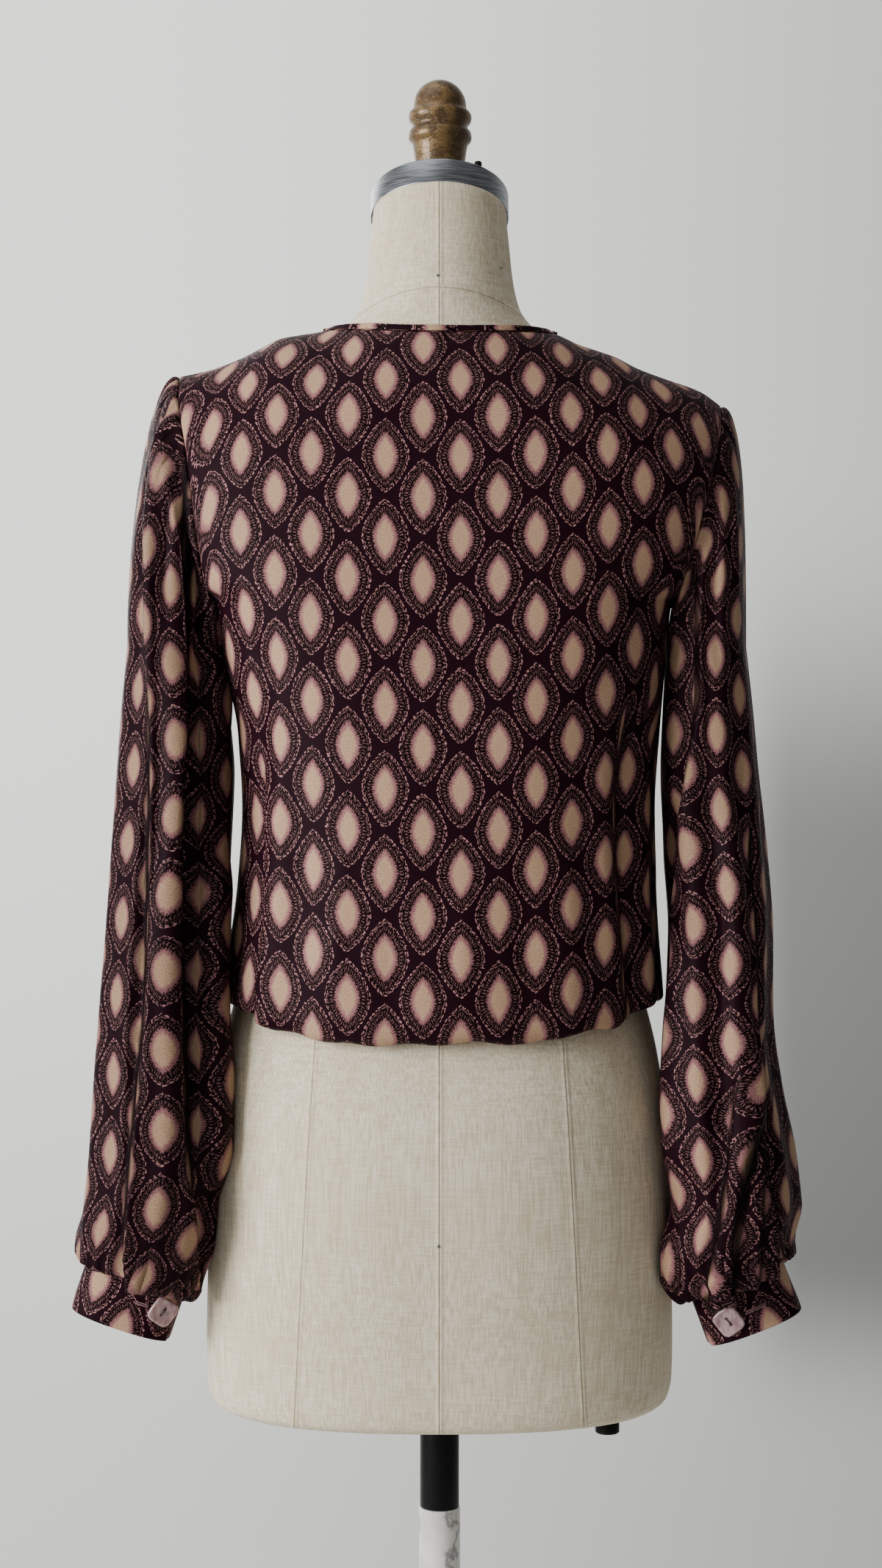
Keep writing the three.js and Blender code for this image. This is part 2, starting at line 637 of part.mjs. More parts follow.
// The armhole's edge: underarm, up the back, over the shoulder, down the front
function armholeLoop(side) {
  const column = side === 'left' ? PANEL_COLUMNS : 0;
  const at = (made, k) => ({
    point: made.grid[FIRST_ARM_ROW + k][column].clone(),
    normal: made.normals[FIRST_ARM_ROW + k][column].clone(),
  });
  const loop = [];
  for (let k = 0; k <= ARM_ROWS; k += 1) loop.push(at(backPanel, k));
  for (let k = ARM_ROWS - 1; k >= 1; k -= 1) loop.push(at(frontPanel, k));
  loop[0].point.y = 0;
  return loop;
}

function sleeveGrid(side) {
  const sign = side === 'left' ? 1 : -1;
  const table = SLEEVES[side];
  const folds = SLEEVE_FOLDS[side];
  const loop = armholeLoop(side);
  const count = loop.length;
  const directions = edgeDirections(loop, sign);
  const angle = (j) => Math.PI - j * 2 * Math.PI / count;
  const ripple = (j) => (j % 2 === 0 ? 1 : -1);
  const fold = (j) => folds.reduce((sum, item) => {
    const gap = ((angle(j) * 180 / Math.PI - item.angle + 540) % 360) - 180;
    return sum + item.deep * Math.exp(-((gap / item.wide) ** 2));
  }, -1.5);
  const ring = (row, strength) => loop.map((_, j) => {
    const centre = sign * (row.outer + row.inner) / 2;
    const wide = (row.outer - row.inner) / 2;
    const extra = fold(j) * strength;
    const x = centre + sign * (wide + extra) * roundedCos(angle(j), SLEEVE_POWER);
    const y = row.y + (row.deep + extra) * roundedSin(angle(j), SLEEVE_POWER);
    return clearOfBody(vec(x, y, row.z), side, SLEEVE_CLEARANCE);
  });
  const start = loop.map(({ point }, j) => point.clone().addScaledVector(directions[j], ARMHOLE_GAP));
  const firstRing = ring(table[0], 0.5);
  const rows = [start];
  CAP_STEPS.forEach((t, step) => {
    rows.push(start.map((point, j) => {
      const high = (1 + Math.cos(angle(j))) / 2;
      const lift = mix(...CAP_LIFT, high);
      const leave = point.clone().addScaledVector(directions[j], lift)
        .add(vec(sign * mix(...CAP_OUT, high), 0, mix(...CAP_RISE, high)));
      const arrive = firstRing[j].clone().add(vec(0, 0, mix(...CAP_FALL, high)));
      const a = point.clone().lerp(leave, t);
      const b = leave.clone().lerp(arrive, t);
      const c = arrive.clone().lerp(firstRing[j], t);
      const made = a.lerp(b, t).lerp(b.clone().lerp(c, t), t);
      const gather = step < CAP_GATHER.deepSteps ? CAP_GATHER.deep : CAP_GATHER.shallow;
      const gathered = Math.max(high - CAP_GATHER.from, 0) * gather * ripple(j);
      made.addScaledVector(loop[j].normal, gathered);
      return clearOfBody(made, side, CAP_CLEARANCE);
    }));
  });
  table.forEach((row, k) => rows.push(ring(row, mix(0.5, 1, Math.min(k / 3, 1)))));
  const { foot, up, across } = cuffFrame(side);
  POUF.forEach((row) => {
    rows.push(loop.map((_, j) => {
      const gather = CUFF_GATHER * row.gather * ripple(j);
      const lean = vec(sign, 0, 0).lerp(across, row.lean).normalize();
      const point = foot.clone().addScaledVector(up, row.above)
        .addScaledVector(lean, (row.wide + gather) * roundedCos(angle(j), SLEEVE_POWER))
        .add(vec(0, (row.deep + gather) * roundedSin(angle(j), SLEEVE_POWER), 0));
      return clearOfBody(point, side, SLEEVE_CLEARANCE);
    }));
  });
  const onCuff = (above, gap) => loop.map((_, j) => {
    const degrees = angle(j) * 180 / Math.PI;
    return cuffPoint(side, degrees, above, cuffLapAt(degrees) + gap);
  });
  rows.push(onCuff(POUF_RETURN.above, POUF_RETURN.gap));
  rows.push(onCuff(CUFF_HEIGHT + SEAM_GAP, 0));
  const grown = gridNormals(rows, true, (r) => middleOf(rows[r]));
  loop.forEach(({ normal }, j) => grown[0][j].copy(normal));
  return { rows, normals: grown };
}

function sleeve(side) {
  const { rows, normals } = sleeveGrid(side);
  const mesh = new THREE.Mesh(wallSolid(rows, normals, true), printedCloth);
  mesh.name = `${side}_sleeve`;
  return mesh;
}

function cuff(side) {
  const rows = [0, CUFF_HEIGHT].map((above) => [...Array(CUFF_STEPS + 1).keys()].map((k) => {
    const turned = k * SLEEVE_STEP;
    return cuffPoint(side, CUFF_START + turned, above, lapGrowth(turned));
  }));
  const { foot, up } = cuffFrame(side);
  const axis = (r) => foot.clone().addScaledVector(up, r * CUFF_HEIGHT);
  const mesh = new THREE.Mesh(wallSolid(rows, gridNormals(rows, false, axis), false), printedCloth);
  mesh.name = `${side}_cuff`;
  return mesh;
}

// Rounded square button with two thread holes
function button(side) {
  const half = BUTTON_SIZE / 2;
  const corner = BUTTON_CORNER;
  const outline = new THREE.Shape();
  outline.moveTo(-half + corner, -half);
  outline.lineTo(half - corner, -half);
  outline.absarc(half - corner, -half + corner, corner, -Math.PI / 2, 0);
  outline.lineTo(half, half - corner);
  outline.absarc(half - corner, half - corner, corner, 0, Math.PI / 2);
  outline.lineTo(-half + corner, half);
  outline.absarc(-half + corner, half - corner, corner, Math.PI / 2, Math.PI);
  outline.lineTo(-half, -half + corner);
  outline.absarc(-half + corner, -half + corner, corner, Math.PI, Math.PI * 1.5);
  [-1, 1].forEach((place) => {
    const hole = new THREE.Path();
    hole.absarc(0, place * BUTTON_HOLE.away, BUTTON_HOLE.radius, 0, Math.PI * 2);
    outline.holes.push(hole);
  });
  const settings = { depth: BUTTON_WALL, bevelEnabled: false, curveSegments: 4 };
  const geometry = new THREE.ExtrudeGeometry(outline, settings);
  const { around, above, turn } = BUTTONS[side];
  const grow = CUFF_LAP + SEAM_GAP;
  const seat = cuffPoint(side, around, above, grow);
  const before = cuffPoint(side, around - 2, above, grow);
  const after = cuffPoint(side, around + 2, above, grow);
  const { up } = cuffFrame(side);
  const tangent = before.sub(after).normalize();
  const out = tangent.clone().cross(up).normalize();
  if (out.y < 0) out.negate();
  const right = up.clone().cross(out).normalize();
  const mesh = new THREE.Mesh(geometry, shell);
  mesh.name = `${side}_cuff_button`;
  mesh.quaternion.setFromRotationMatrix(new THREE.Matrix4().makeBasis(right, up, out));
  mesh.rotateZ(radians(turn));
  mesh.position.copy(seat);
  return mesh;
}

// Narrow band standing on the neckline's edge, all round
function neckBinding() {
  const neckColumn = PANEL_COLUMNS / 4;
  const loop = [];
  const add = ({ grid, normals }, c) => {
    const last = grid.length - 1;
    loop.push({ point: grid[last][c], normal: normals[last][c] });
  };
  for (let c = neckColumn; c <= PANEL_COLUMNS - neckColumn; c += 1) add(backPanel, c);
  for (let c = PANEL_COLUMNS - neckColumn - 1; c > neckColumn; c -= 1) add(frontPanel, c);
  const out = edgeDirections(loop, 1);
  if (out[neckColumn].z < 0) out.forEach((direction) => direction.negate());
  const corner = (along, deep) => loop.map(({ point, normal }, k) => point.clone()
    .addScaledVector(out[k], along).addScaledVector(normal, deep));
  const sections = [
    corner(BINDING_GAP, BINDING_PROUD),
    corner(BINDING_HEIGHT, BINDING_PROUD),
    corner(BINDING_HEIGHT, BINDING_PROUD - BINDING_WALL),
    corner(BINDING_GAP, BINDING_PROUD - BINDING_WALL),
  ];
  const vertices = [];
  const put = (point) => vertices.push(point.x, point.y, point.z) / 3 - 1;
  const index = sections.map((ring) => ring.map(put));
  const faces = [];
  index.forEach((ring, s) => {
    const next = index[(s + 1) % index.length];
    ring.forEach((_, k) => {
      const n = (k + 1) % ring.length;
      faces.push(ring[k], ring[n], next[n], ring[k], next[n], next[k]);
    });
  });
  const mesh = new THREE.Mesh(solidGeometry(vertices, faces), printedCloth);
  mesh.name = 'neck_binding';
  return mesh;
}

// Smooth torso with its neck, closed at both ends
function dressForm() {
  const rings = FORM.map((row) => [...Array(FORM_COLUMNS).keys()].map((c) => {
    const turn = 2 * Math.PI * c / FORM_COLUMNS;
    const across = roundedSin(turn, row.power);
    const y = across >= 0 ? row.back * across : row.front * across;
    const level = NECK_CAP.y * row.tilt / NECK_CAP.tilt;
    const z = row.z + (y - level) * Math.tan(radians(row.tilt));
    return vec(row.wide * roundedCos(turn, row.power), y, z);
  }));
  const mesh = new THREE.Mesh(stackSolid(rings), linen);
  mesh.name = 'form_torso';
  return mesh;
}

function neckCap() {
  const { radius, thickness, y, z, tilt } = NECK_CAP;
  const geometry = new THREE.CylinderGeometry(radius, radius, thickness, 40);
  geometry.rotateX(Math.PI / 2 + radians(tilt));
  const mesh = new THREE.Mesh(geometry, brushedMetal);
  mesh.name = 'neck_cap';
  const lift = thickness / 2 + SEAM_GAP;
  mesh.position.set(0, y - lift * Math.sin(radians(tilt)), z + lift * Math.cos(radians(tilt)));
  return mesh;
}

// The finial's foot follows the tilted cap
function finial() {
  const tilt = radians(NECK_CAP.tilt);
  const foot = NECK_CAP.z + (NECK_CAP.thickness + 2 * SEAM_GAP) / Math.cos(tilt);
  const ringAt = (radius, height) => [...Array(FINIAL_SIDES).keys()].map((c) => {
    const turn = 2 * Math.PI * c / FINIAL_SIDES;
    const y = radius * Math.sin(turn);
    return vec(radius * Math.cos(turn), NECK_CAP.y + y, height(y));
  });
  const rings = [ringAt(FINIAL_FOOT, (y) => foot + y * Math.tan(tilt))];
  FINIAL.forEach(({ up, radius }) => rings.push(ringAt(radius, () => NECK_CAP.z + up)));
  const mesh = new THREE.Mesh(stackSolid(rings), bronzePaint);
  mesh.name = 'finial';
  return mesh;
}

function capBolt() {
  const { radius, high, x, back } = CAP_BOLT;
  const tilt = radians(NECK_CAP.tilt);
  const geometry = new THREE.CylinderGeometry(radius, radius, high, 6);
  geometry.rotateX(Math.PI / 2 + tilt);
  const mesh = new THREE.Mesh(geometry, blackPaint);
  mesh.name = 'cap_bolt';
  const lift = NECK_CAP.thickness + 2 * SEAM_GAP + high / 2;
  const y = NECK_CAP.y + back * Math.cos(tilt) - lift * Math.sin(tilt);
  const z = NECK_CAP.z + back * Math.sin(tilt) + lift * Math.cos(tilt);
  mesh.position.set(x, y, z);
  return mesh;
}

function upright(name, radius, low, high, material) {
  const geometry = new THREE.CylinderGeometry(radius, radius, high - low, 32);
  geometry.rotateX(Math.PI / 2);
  const mesh = new THREE.Mesh(geometry, material);
  mesh.name = name;
  mesh.position.z = (low + high) / 2;
  return mesh;
}

function poles() {
  const top = FORM_BOTTOM - SEAM_GAP;
  const foot = -DATUM + SOCKET_HEIGHT + SEAM_GAP;
  return [
    upright('black_pole', POLE_RADIUS, POLE_JOINT + SEAM_GAP, top, blackPaint),
    upright('marbled_pole', POLE_SLEEVE_RADIUS, foot, POLE_JOINT, marble),
  ];
}

function formKnob() {
  const { radius, high, x, y } = FORM_KNOB;
  const geometry = new THREE.CylinderGeometry(radius, radius, high - SEAM_GAP, 16);
  geometry.rotateX(Math.PI / 2);
  const mesh = new THREE.Mesh(geometry, blackPaint);
  mesh.name = 'form_knob';
  mesh.position.set(x, y, FORM_BOTTOM - (high + SEAM_GAP) / 2);
  return mesh;
}

function base() {
  const profile = BASE_SECTION.map(({ radius, high }) => new THREE.Vector2(radius, high));
  const geometry = new THREE.LatheGeometry(profile, 48);
  geometry.rotateX(Math.PI / 2);
  const mesh = new THREE.Mesh(geometry, blackPaint);
  mesh.name = 'stand_base';
  mesh.position.set(0, 0, -DATUM);
  return mesh;
}

const blouseOnForm = new THREE.Group();
blouseOnForm.position.z = DATUM;
blouseOnForm.add(
  panel(backPanel),
  panel(frontPanel),
  sleeve('left'),
  sleeve('right'),
  cuff('left'),
  cuff('right'),
  button('left'),
  button('right'),
  neckBinding(),
  dressForm(),
  neckCap(),
  finial(),
  capBolt(),
  ...poles(),
  formKnob(),
  base(),
);

export default blouseOnForm;
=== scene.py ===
"""Printed blouse on a limbless dress form: cloth, form, stand, floor, light and camera."""

import math
import bpy
import numpy as np
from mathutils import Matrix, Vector


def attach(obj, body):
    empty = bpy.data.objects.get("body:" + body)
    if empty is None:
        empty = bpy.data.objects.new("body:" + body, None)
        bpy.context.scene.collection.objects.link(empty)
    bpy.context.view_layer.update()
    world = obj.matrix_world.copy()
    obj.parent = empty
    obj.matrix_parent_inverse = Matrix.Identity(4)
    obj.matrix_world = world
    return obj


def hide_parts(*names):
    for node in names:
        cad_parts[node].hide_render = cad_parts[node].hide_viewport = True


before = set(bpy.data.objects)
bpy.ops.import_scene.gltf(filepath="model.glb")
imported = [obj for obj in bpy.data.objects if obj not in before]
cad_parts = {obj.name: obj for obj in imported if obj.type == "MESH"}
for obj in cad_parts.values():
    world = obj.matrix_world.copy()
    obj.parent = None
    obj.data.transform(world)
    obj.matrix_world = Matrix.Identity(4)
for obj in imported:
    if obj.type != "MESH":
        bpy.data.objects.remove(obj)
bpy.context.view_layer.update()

# Tables are in millimetres. Heights are measured from DATUM, a level at the waist.
MM = 0.001
DATUM = 1090.0
SIGN = {"left": 1, "right": -1}
CLOTH = 0.8
CUFF_CLOTH = 1.2
SEAM_GAP = 0.35
ARMHOLE_GAP = 0.5
# a panel's columns across, its middle one, and those on each shoulder; rows beside the armhole
COLUMNS = 24
MIDDLE = 12
SHOULDER_COLUMNS = 6
ARM_ROWS = 14
PANEL_STEP = 2.6
HEM = -152.0
UNDERARM = 120.0
# height over which a panel's fold grows, usual depth of a panel, gap to the form under the hem
FOLD_RISE = 120
PANEL_DEPTH = 110
FORM_GAP = 1.2
SHOULDER_LENGTH = 80.0
SHOULDER_SEAM_DROP = 2.6
# heights where a sleeve's hanging part starts and ends
SLEEVE_TOP = 92.0
SLEEVE_END = -277.0
SLEEVE_ROW = 3.6
SLEEVE_COLUMNS = 250
SLEEVE_POWER = 2.2
# how far a sleeve stays from the body beside it, on its hanging part and at its head
SLEEVE_CLEARANCE, HEAD_CLEARANCE = 1.5, 1.2
# gathers at a sleeve's head and at its end, and how deep they are
HEAD_GATHERS, END_GATHERS = 22, 30
HEAD_GATHER_DEPTH, END_GATHER_DEPTH = 2.4, 3.2
# seeds for the gathers at the head and at the end, and for the cuff's softness
SEEDS = {"left": (5, 21, 3), "right": (8, 34, 4)}
SLEEVE_STEP = 180 / ARM_ROWS
CUFF_HEIGHT = 50.0
CUFF_POWER = 2.6
CUFF_START = 8 * SLEEVE_STEP
CUFF_TURN = 32 * SLEEVE_STEP
CUFF_LAP = 1.9

# z, left, right, back, front, power
BODY = (
    (-152, 148, 151.5, 118, 123, 2.35), (-120, 144, 149.5, 119, 128, 2.35),
    (-67, 137, 146.5, 114, 127, 2.4), (-17, 134, 145.5, 111, 129, 2.45),
    (33, 136, 148.5, 108, 133, 2.6), (83, 146, 152.5, 106, 134, 2.8), (120, 153, 156, 105, 128, 3),
    (130, 168, 172, 104.6, 126, 2.7), (141, 178, 184, 104.2, 124, 2.5),
    (175, 192, 200, 102, 117, 2.35), (219, 199, 211, 95, 105, 2.3), (250, 202, 216, 88.5, 98, 2.3),
    (276, 203, 218, 84, 92, 2.3), (330, 205, 220, 83, 86, 2.3),
)
# distance from the centre, height of the shoulder ridge on the left and right
RIDGE = (
    (0, 325, 324), (40, 319.5, 318), (60, 312.5, 311), (81, 306, 303.5), (94, 304, 297.5),
    (108, 301.5, 293), (118, 296.5, 289.5), (134, 288.5, 281.5), (153, 281.5, 274.5),
    (176, 276.5, 266.5), (190, 274, 257), (215, 268, 238),
)
# z, distance of the armhole seam on the left and right
ARMHOLE = (
    (120, 153, 156), (126, 154, 158), (141, 156, 163), (175, 161, 173), (219, 167, 184),
    (249, 173, 189.5), (276, 176, 190.5),
)
BACK_NECK_CENTRE = 296.0
# step in from the neck point, share of the distance across; the front has its drop too
BACK_NECK = ((0, 1), (1, 0.94), (2, 0.84), (3, 0.67), (4, 0.47), (5, 0.24), (6, 0))
FRONT_NECK = (
    (0, 1, 0), (1, 1, 0.6), (2, 0.99, 6), (3, 0.95, 22), (4, 0.8, 48), (5, 0.45, 76), (6, 0, 90),
)
NECK_POINT = (77.0, 78.0)
SHOULDER_POINT = (176.0, 190.5)
# place across the panel, half width, depth, height where the fold ends
BACK_FOLDS = (
    (-0.86, 0.05, -4.5, 60), (-0.74, 0.05, 3.5, 20), (-0.62, 0.05, -3.5, -20),
    (0.8, 0.07, -3.5, 0), (0.45, 0.08, -2, -60), (-0.25, 0.08, -2, -70), (0.12, 0.08, -1.6, -80),
)
FRONT_FOLDS = (
    (-0.75, 0.07, -4, 50), (-0.45, 0.08, -4.5, 30), (-0.15, 0.07, -3, -20), (0.2, 0.08, -4, 0),
    (0.52, 0.07, -4.5, 40), (0.8, 0.07, -3.5, 20),
)
# z, half width, back, front, power, tilt
FORM = (
    (-418, 140, 88, 88, 2.4, 0), (-417, 146, 94, 94, 2.4, 0), (-411, 154, 100, 100, 2.4, 0),
    (-398, 157, 102, 101.5, 2.4, 0), (-372, 157.5, 104, 102, 2.4, 0),
    (-317, 156.5, 112, 104, 2.4, 0), (-262, 155, 116, 106, 2.35, 0),
    (-217, 152.5, 113, 107, 2.3, 0), (-182, 147.5, 105, 105, 2.3, 0),
    (-150, 140, 93, 101, 2.25, 0), (-115, 128, 80, 96, 2.2, 0), (-73, 116, 71, 91, 2.1, 0),
    (-30, 120, 75, 96, 2.15, 0), (20, 130, 83, 108, 2.2, 0), (70, 140, 91, 121, 2.3, 0),
    (110, 145, 95, 120, 2.4, 0), (150, 148, 96, 112, 2.4, 0), (200, 158, 91, 98, 2.3, 0),
    (235, 167, 82, 88, 2.1, 0), (252, 166, 75, 80, 2, 0), (263, 156, 69, 72, 1.9, 0),
    (273, 134, 65, 66, 1.9, 0), (284, 110, 61, 61, 1.9, 0), (294, 84, 58, 56, 2, 1),
    (305, 67, 55, 52, 2, 3), (320, 55, 52.5, 49, 2, 6), (340, 50, 46, 51, 2, 10),
    (362, 47.5, 40, 52, 2, 15), (385, 45, 37, 53, 2, 19),
)
CAP_RADIUS = 47.25
CAP_THICKNESS = 18.0
CAP_Y = -8.0
CAP_Z = 385.0
NECK_TILT = 19
CAP_TILT = math.radians(NECK_TILT)

# z, outer edge, inner edge, centre y, half depth, strength of the folds
SLEEVES = {
    "left": (
        (92, 212, 150, 4, 60, 0.5), (50, 215.5, 142, 8, 57, 0.67), (5, 218.5, 137.5, 12, 55, 0.83),
        (-45, 221.5, 139, 18, 54, 1), (-95, 223.5, 142, 25, 54, 1), (-145, 226, 142, 33, 55, 1),
        (-195, 229, 138, 39, 56, 1), (-240, 231.5, 138, 43, 56, 1), (-278, 235, 143, 45, 55, 1),
    ),
    "right": (
        (92, 206, 154, 4, 60, 0.5), (50, 210, 151, 8, 57, 0.67), (5, 213.5, 149, 12, 55, 0.83),
        (-45, 219, 149.5, 18, 54, 1), (-95, 222, 152, 25, 54, 1), (-145, 221, 151, 33, 55, 1),
        (-195, 226, 150, 39, 56, 1), (-240, 234, 151, 43, 56, 1), (-278, 238, 151, 45, 54, 1),
    ),
}
# angle, half width, depth
SLEEVE_FOLDS = {
    "left": (
        (69, 11, 5), (100, 9, 4.5), (126, 9, 3.5), (30, 12, 3), (-25, 14, 4), (-68, 12, 4.5),
        (-110, 12, 4),
    ),
    "right": (
        (48, 12, 4), (84, 10, 4.5), (117, 10, 4.5), (12, 12, 3), (-35, 13, 4), (-80, 12, 4.5),
        (-120, 11, 3.5),
    ),
}
# centre of the lower edge x, y, z, lean in degrees, half width, half depth
CUFFS = {
    "left": (211, 40, -356, 18.5, 34, 23),
    "right": (208.5, 40, -358, 21, 33, 23),
}
# height on the cuff, half width, half depth, lean, gathers
POUF = ((52, 46, 51, 0.55, 0.5), (34, 41, 45, 1, 1))
POUF_RETURN = (40, 2.6)
# angle round the cuff, height on it, turn
BUTTONS = {"left": (127, 20, -20), "right": (110, 14, 18)}
# button's angle, height on the cuff, turn from it where the stitches begin and end, rise
BUTTONHOLES = {"left": (127, 20.5, -18, -31, 0.5), "right": (110, 14.5, -18, -33, 1.5)}


def curve(table, column):
    """Smooth curve through a table's column that never overshoots its rows."""
    z = np.array([row[0] for row in table], float)
    v = np.array([row[column] for row in table], float)
    step = np.diff(v) / np.diff(z)
    slope = np.concatenate(([step[0]], np.zeros(len(z) - 2), [step[-1]]))
    a, b = step[:-1], step[1:]
    total = np.where(a + b == 0, 1, a + b)
    slope[1:-1] = np.where(a * b > 0, 2 * a * b / total, 0)

    def at(height):
        h = np.clip(height, z[0], z[-1])
        k = np.clip(np.searchsorted(z, h, side="right") - 1, 0, len(z) - 2)
        span = z[k + 1] - z[k]
        t = (h - z[k]) / span
        rise = v[k] + (v[k + 1] - v[k]) * t * t * (3 - 2 * t)
        return rise + span * (t * (1 - t) ** 2 * slope[k] - t * t * (1 - t) * slope[k + 1])

    return at


def two_sided(table):
    left, right = curve(table, 1), curve(table, 2)
    return lambda x, z: np.where(x >= 0, left(z), right(z))


body_width = two_sided(BODY)
ridge = two_sided(RIDGE)
armhole = two_sided(ARMHOLE)
body_depth = {"back": curve(BODY, 3), "front": curve(BODY, 4)}
body_power = curve(BODY, 5)
form_width = curve(FORM, 1)
form_depth = {"back": curve(FORM, 2), "front": curve(FORM, 3)}
form_power = curve(FORM, 4)
form_tilt = curve(FORM, 5)


def mix(a, b, t):
    return a + (b - a) * t


def smooth(value, low, high):
    t = np.clip((value - low) / (high - low), 0, 1)
    return t * t * (3 - 2 * t)


def rounded(value, power):
    return np.sign(value) * np.abs(value) ** (2 / power)


def unit(v):
    return v / np.maximum(np.linalg.norm(v, axis=-1, keepdims=True), 1e-9)


def stack(x, y, z):
    return np.stack(np.broadcast_arrays(x, y, z), axis=-1).astype(float)


def surface_depth(face, x, z):
    """Depth of the body's surface behind or before the side seams."""
    power = body_power(z)
    share = np.minimum(np.abs(x) / body_width(x, z), 1)
    drop = np.maximum(ridge(x, np.abs(x)) - z, 0)
    over = 1 - np.minimum(drop / SHOULDER_LENGTH, 1)
    return body_depth[face](z) * (1 - share**power) ** (1 / power) * np.sqrt(1 - over * over)


def grid_normals(grid, round_grid, centre):
    """Outward unit normals of a grid of points, rows up and columns across."""
    if round_grid:
        across = np.roll(grid, -1, axis=1) - np.roll(grid, 1, axis=1)
    else:
        across = np.gradient(grid, axis=1)
    normals = unit(np.cross(across, np.gradient(grid, axis=0)))
    if np.sum((grid - centre) * normals) < 0:
        normals = -normals
    return normals


def spline(rows, steps):
    """Rows of points joined by a Catmull-Rom curve; steps is the number of rows in each gap."""
    out = [rows[1]]
    for k, count in enumerate(steps):
        a, b, c, d = rows[k : k + 4]
        ab, bc, cd = (
            np.maximum(np.linalg.norm(q - p, axis=-1, keepdims=True), 1e-6) ** 0.5
            for p, q in ((a, b), (b, c), (c, d))
        )
        first = (b - a) / ab - (c - a) / (ab + bc) + (c - b) / bc
        last = (c - b) / bc - (d - b) / (bc + cd) + (d - c) / cd
        for i in range(1, count + 1):
            t = i / count
            h = (2 * t**3 - 3 * t * t + 1) * b + (3 * t * t - 2 * t**3) * c
            h = h + bc * ((t**3 - 2 * t * t + t) * first + (t**3 - t * t) * last)
            out.append(h)
    return out


def edge_roll(distance, reach=1.8, deep=1.1):
    """How far cloth turns in at a seam."""
    near = 1 - np.clip(distance / reach, 0, 1)
    return deep * (1 - np.sqrt(1 - np.minimum(near, 0.98) ** 2))


def lengths(grid, axis):
    """Arc length along a grid's rows or columns, from its first point."""
    step = np.linalg.norm(np.diff(grid, axis=axis), axis=-1)
    pad = np.zeros_like(np.take(step, [0], axis=axis))
    return np.concatenate((pad, np.cumsum(step, axis=axis)), axis=axis)


def creases(px, pz, table):
    """Sum of soft creases, each along a bent line from one point to another."""
    total = np.zeros(np.broadcast(px, pz).shape)
    for x0, z0, x1, z1, bend, wide, deep in table:
        t = np.linspace(0, 1, 25)
        nx, nz = -(z1 - z0), x1 - x0
        size = math.hypot(nx, nz)
        off = bend * 4 * t * (1 - t)
        lx = mix(x0, x1, t) + nx / size * off
        lz = mix(z0, z1, t) + nz / size * off
        best = np.full(total.shape, 1e9)
        along = np.zeros(total.shape)
        for a, b, s in zip(lx, lz, t):
            d = (px - a) ** 2 + (pz - b) ** 2
            along = np.where(d < best, s, along)
            best = np.minimum(best, d)
        fade = np.sin(np.pi * np.clip(along * 0.9 + 0.05, 0, 1)) ** 0.7
        total += deep * fade * np.exp(-best / (wide * wide))
    return total


def overlaps(x, z, table):
    """Height, hidden cloth, slip and shade of folds that lap over the cloth beside them."""
    high, tucked, slip, shade = (np.zeros(np.broadcast(x, z).shape) for _ in range(4))
    for line, rise, soft, cloth, slide in table:
        levels, across = np.array(line[::-1], float).T
        at = np.interp(z, levels, across)
        starts = smooth(z, levels[-1] + 5, levels[-1] - 35)
        beyond = smooth(x, at - soft, at + soft)
        under = smooth(x, at - soft * 0.7, at + soft * 0.7)
        near = np.exp(-(((x - at) / 16) ** 2))
        foot = at - soft * 0.2 * np.sign(rise)
        depth = np.clip(abs(rise) / 6, 0, 1) * np.clip(cloth / 8, 0, 1)
        # painted shade along the foot of the fold's step, deeper for higher steps and more tucked
        # cloth
        dark = np.exp(-(((x - foot) / (soft * 0.75 + 0.9)) ** 4))
        shade = np.maximum(shade, starts * depth * dark)
        high += starts * rise * (beyond - 0.5) * near
        outward = np.sign(at)
        tucked += starts * cloth * np.where(outward > 0, under, under - 1)
        slip += starts * slide * under
    return high, tucked, slip, shade


def plain_object(name, points, faces):
    """Linked object from points in millimetres above DATUM."""
    place = np.array(points, float) * MM
    place[:, 2] += DATUM * MM
    mesh = bpy.data.meshes.new(name)
    mesh.from_pydata(place.tolist(), [], faces)
    made = bpy.data.objects.new(name, mesh)
    bpy.context.scene.collection.objects.link(made)
    return made


def mesh_object(name, points, faces, uvs, material, shade=None):
    """Smooth piece, with one UV for each corner of a face."""
    made = plain_object(name, points, faces)
    mesh = made.data
    if uvs is not None:
        layer = mesh.uv_layers.new(name="cloth")
        layer.data.foreach_set("uv", np.array(uvs, np.float32).ravel())
    # painted shade, stored on the points as an attribute that the print darkens by
    if shade is not None:
        painted_shade = mesh.attributes.new("painted_shade", "FLOAT", "POINT")
        painted_shade.data.foreach_set("value", np.array(shade, np.float32))
    mesh.polygons.foreach_set("use_smooth", [True] * len(mesh.polygons))
    mesh.materials.append(material)
    mesh.update()
    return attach(made, "root")


def full_turn(count):
    return np.linspace(0, 2 * np.pi, count, endpoint=False)


def ring_faces(rows, columns, closed=False):
    """Faces between rows of points that go round, and back to the first row if closed."""
    faces = []
    for r in range(rows if closed else rows - 1):
        low, high = r * columns, (r + 1) % rows * columns
        for c in range(columns):
            n = (c + 1) % columns
            faces.append((low + c, low + n, high + n, high + c))
    return faces


def capped_faces(rows, columns):
    """The same with the first and the last row closed by one face each."""
    last = (rows - 1) * columns
    ends = [tuple(range(columns))[::-1], tuple(range(last, last + columns))]
    return ring_faces(rows, columns) + ends


def ring_uvs(around, along):
    """UVs for the corners of ring_faces, from the values at each column's and row's ends."""
    return [
        corner
        for low, high in zip(along, along[1:])
        for a, b in zip(around, around[1:])
        for corner in ((a, low), (b, low), (b, high), (a, high))
    ]


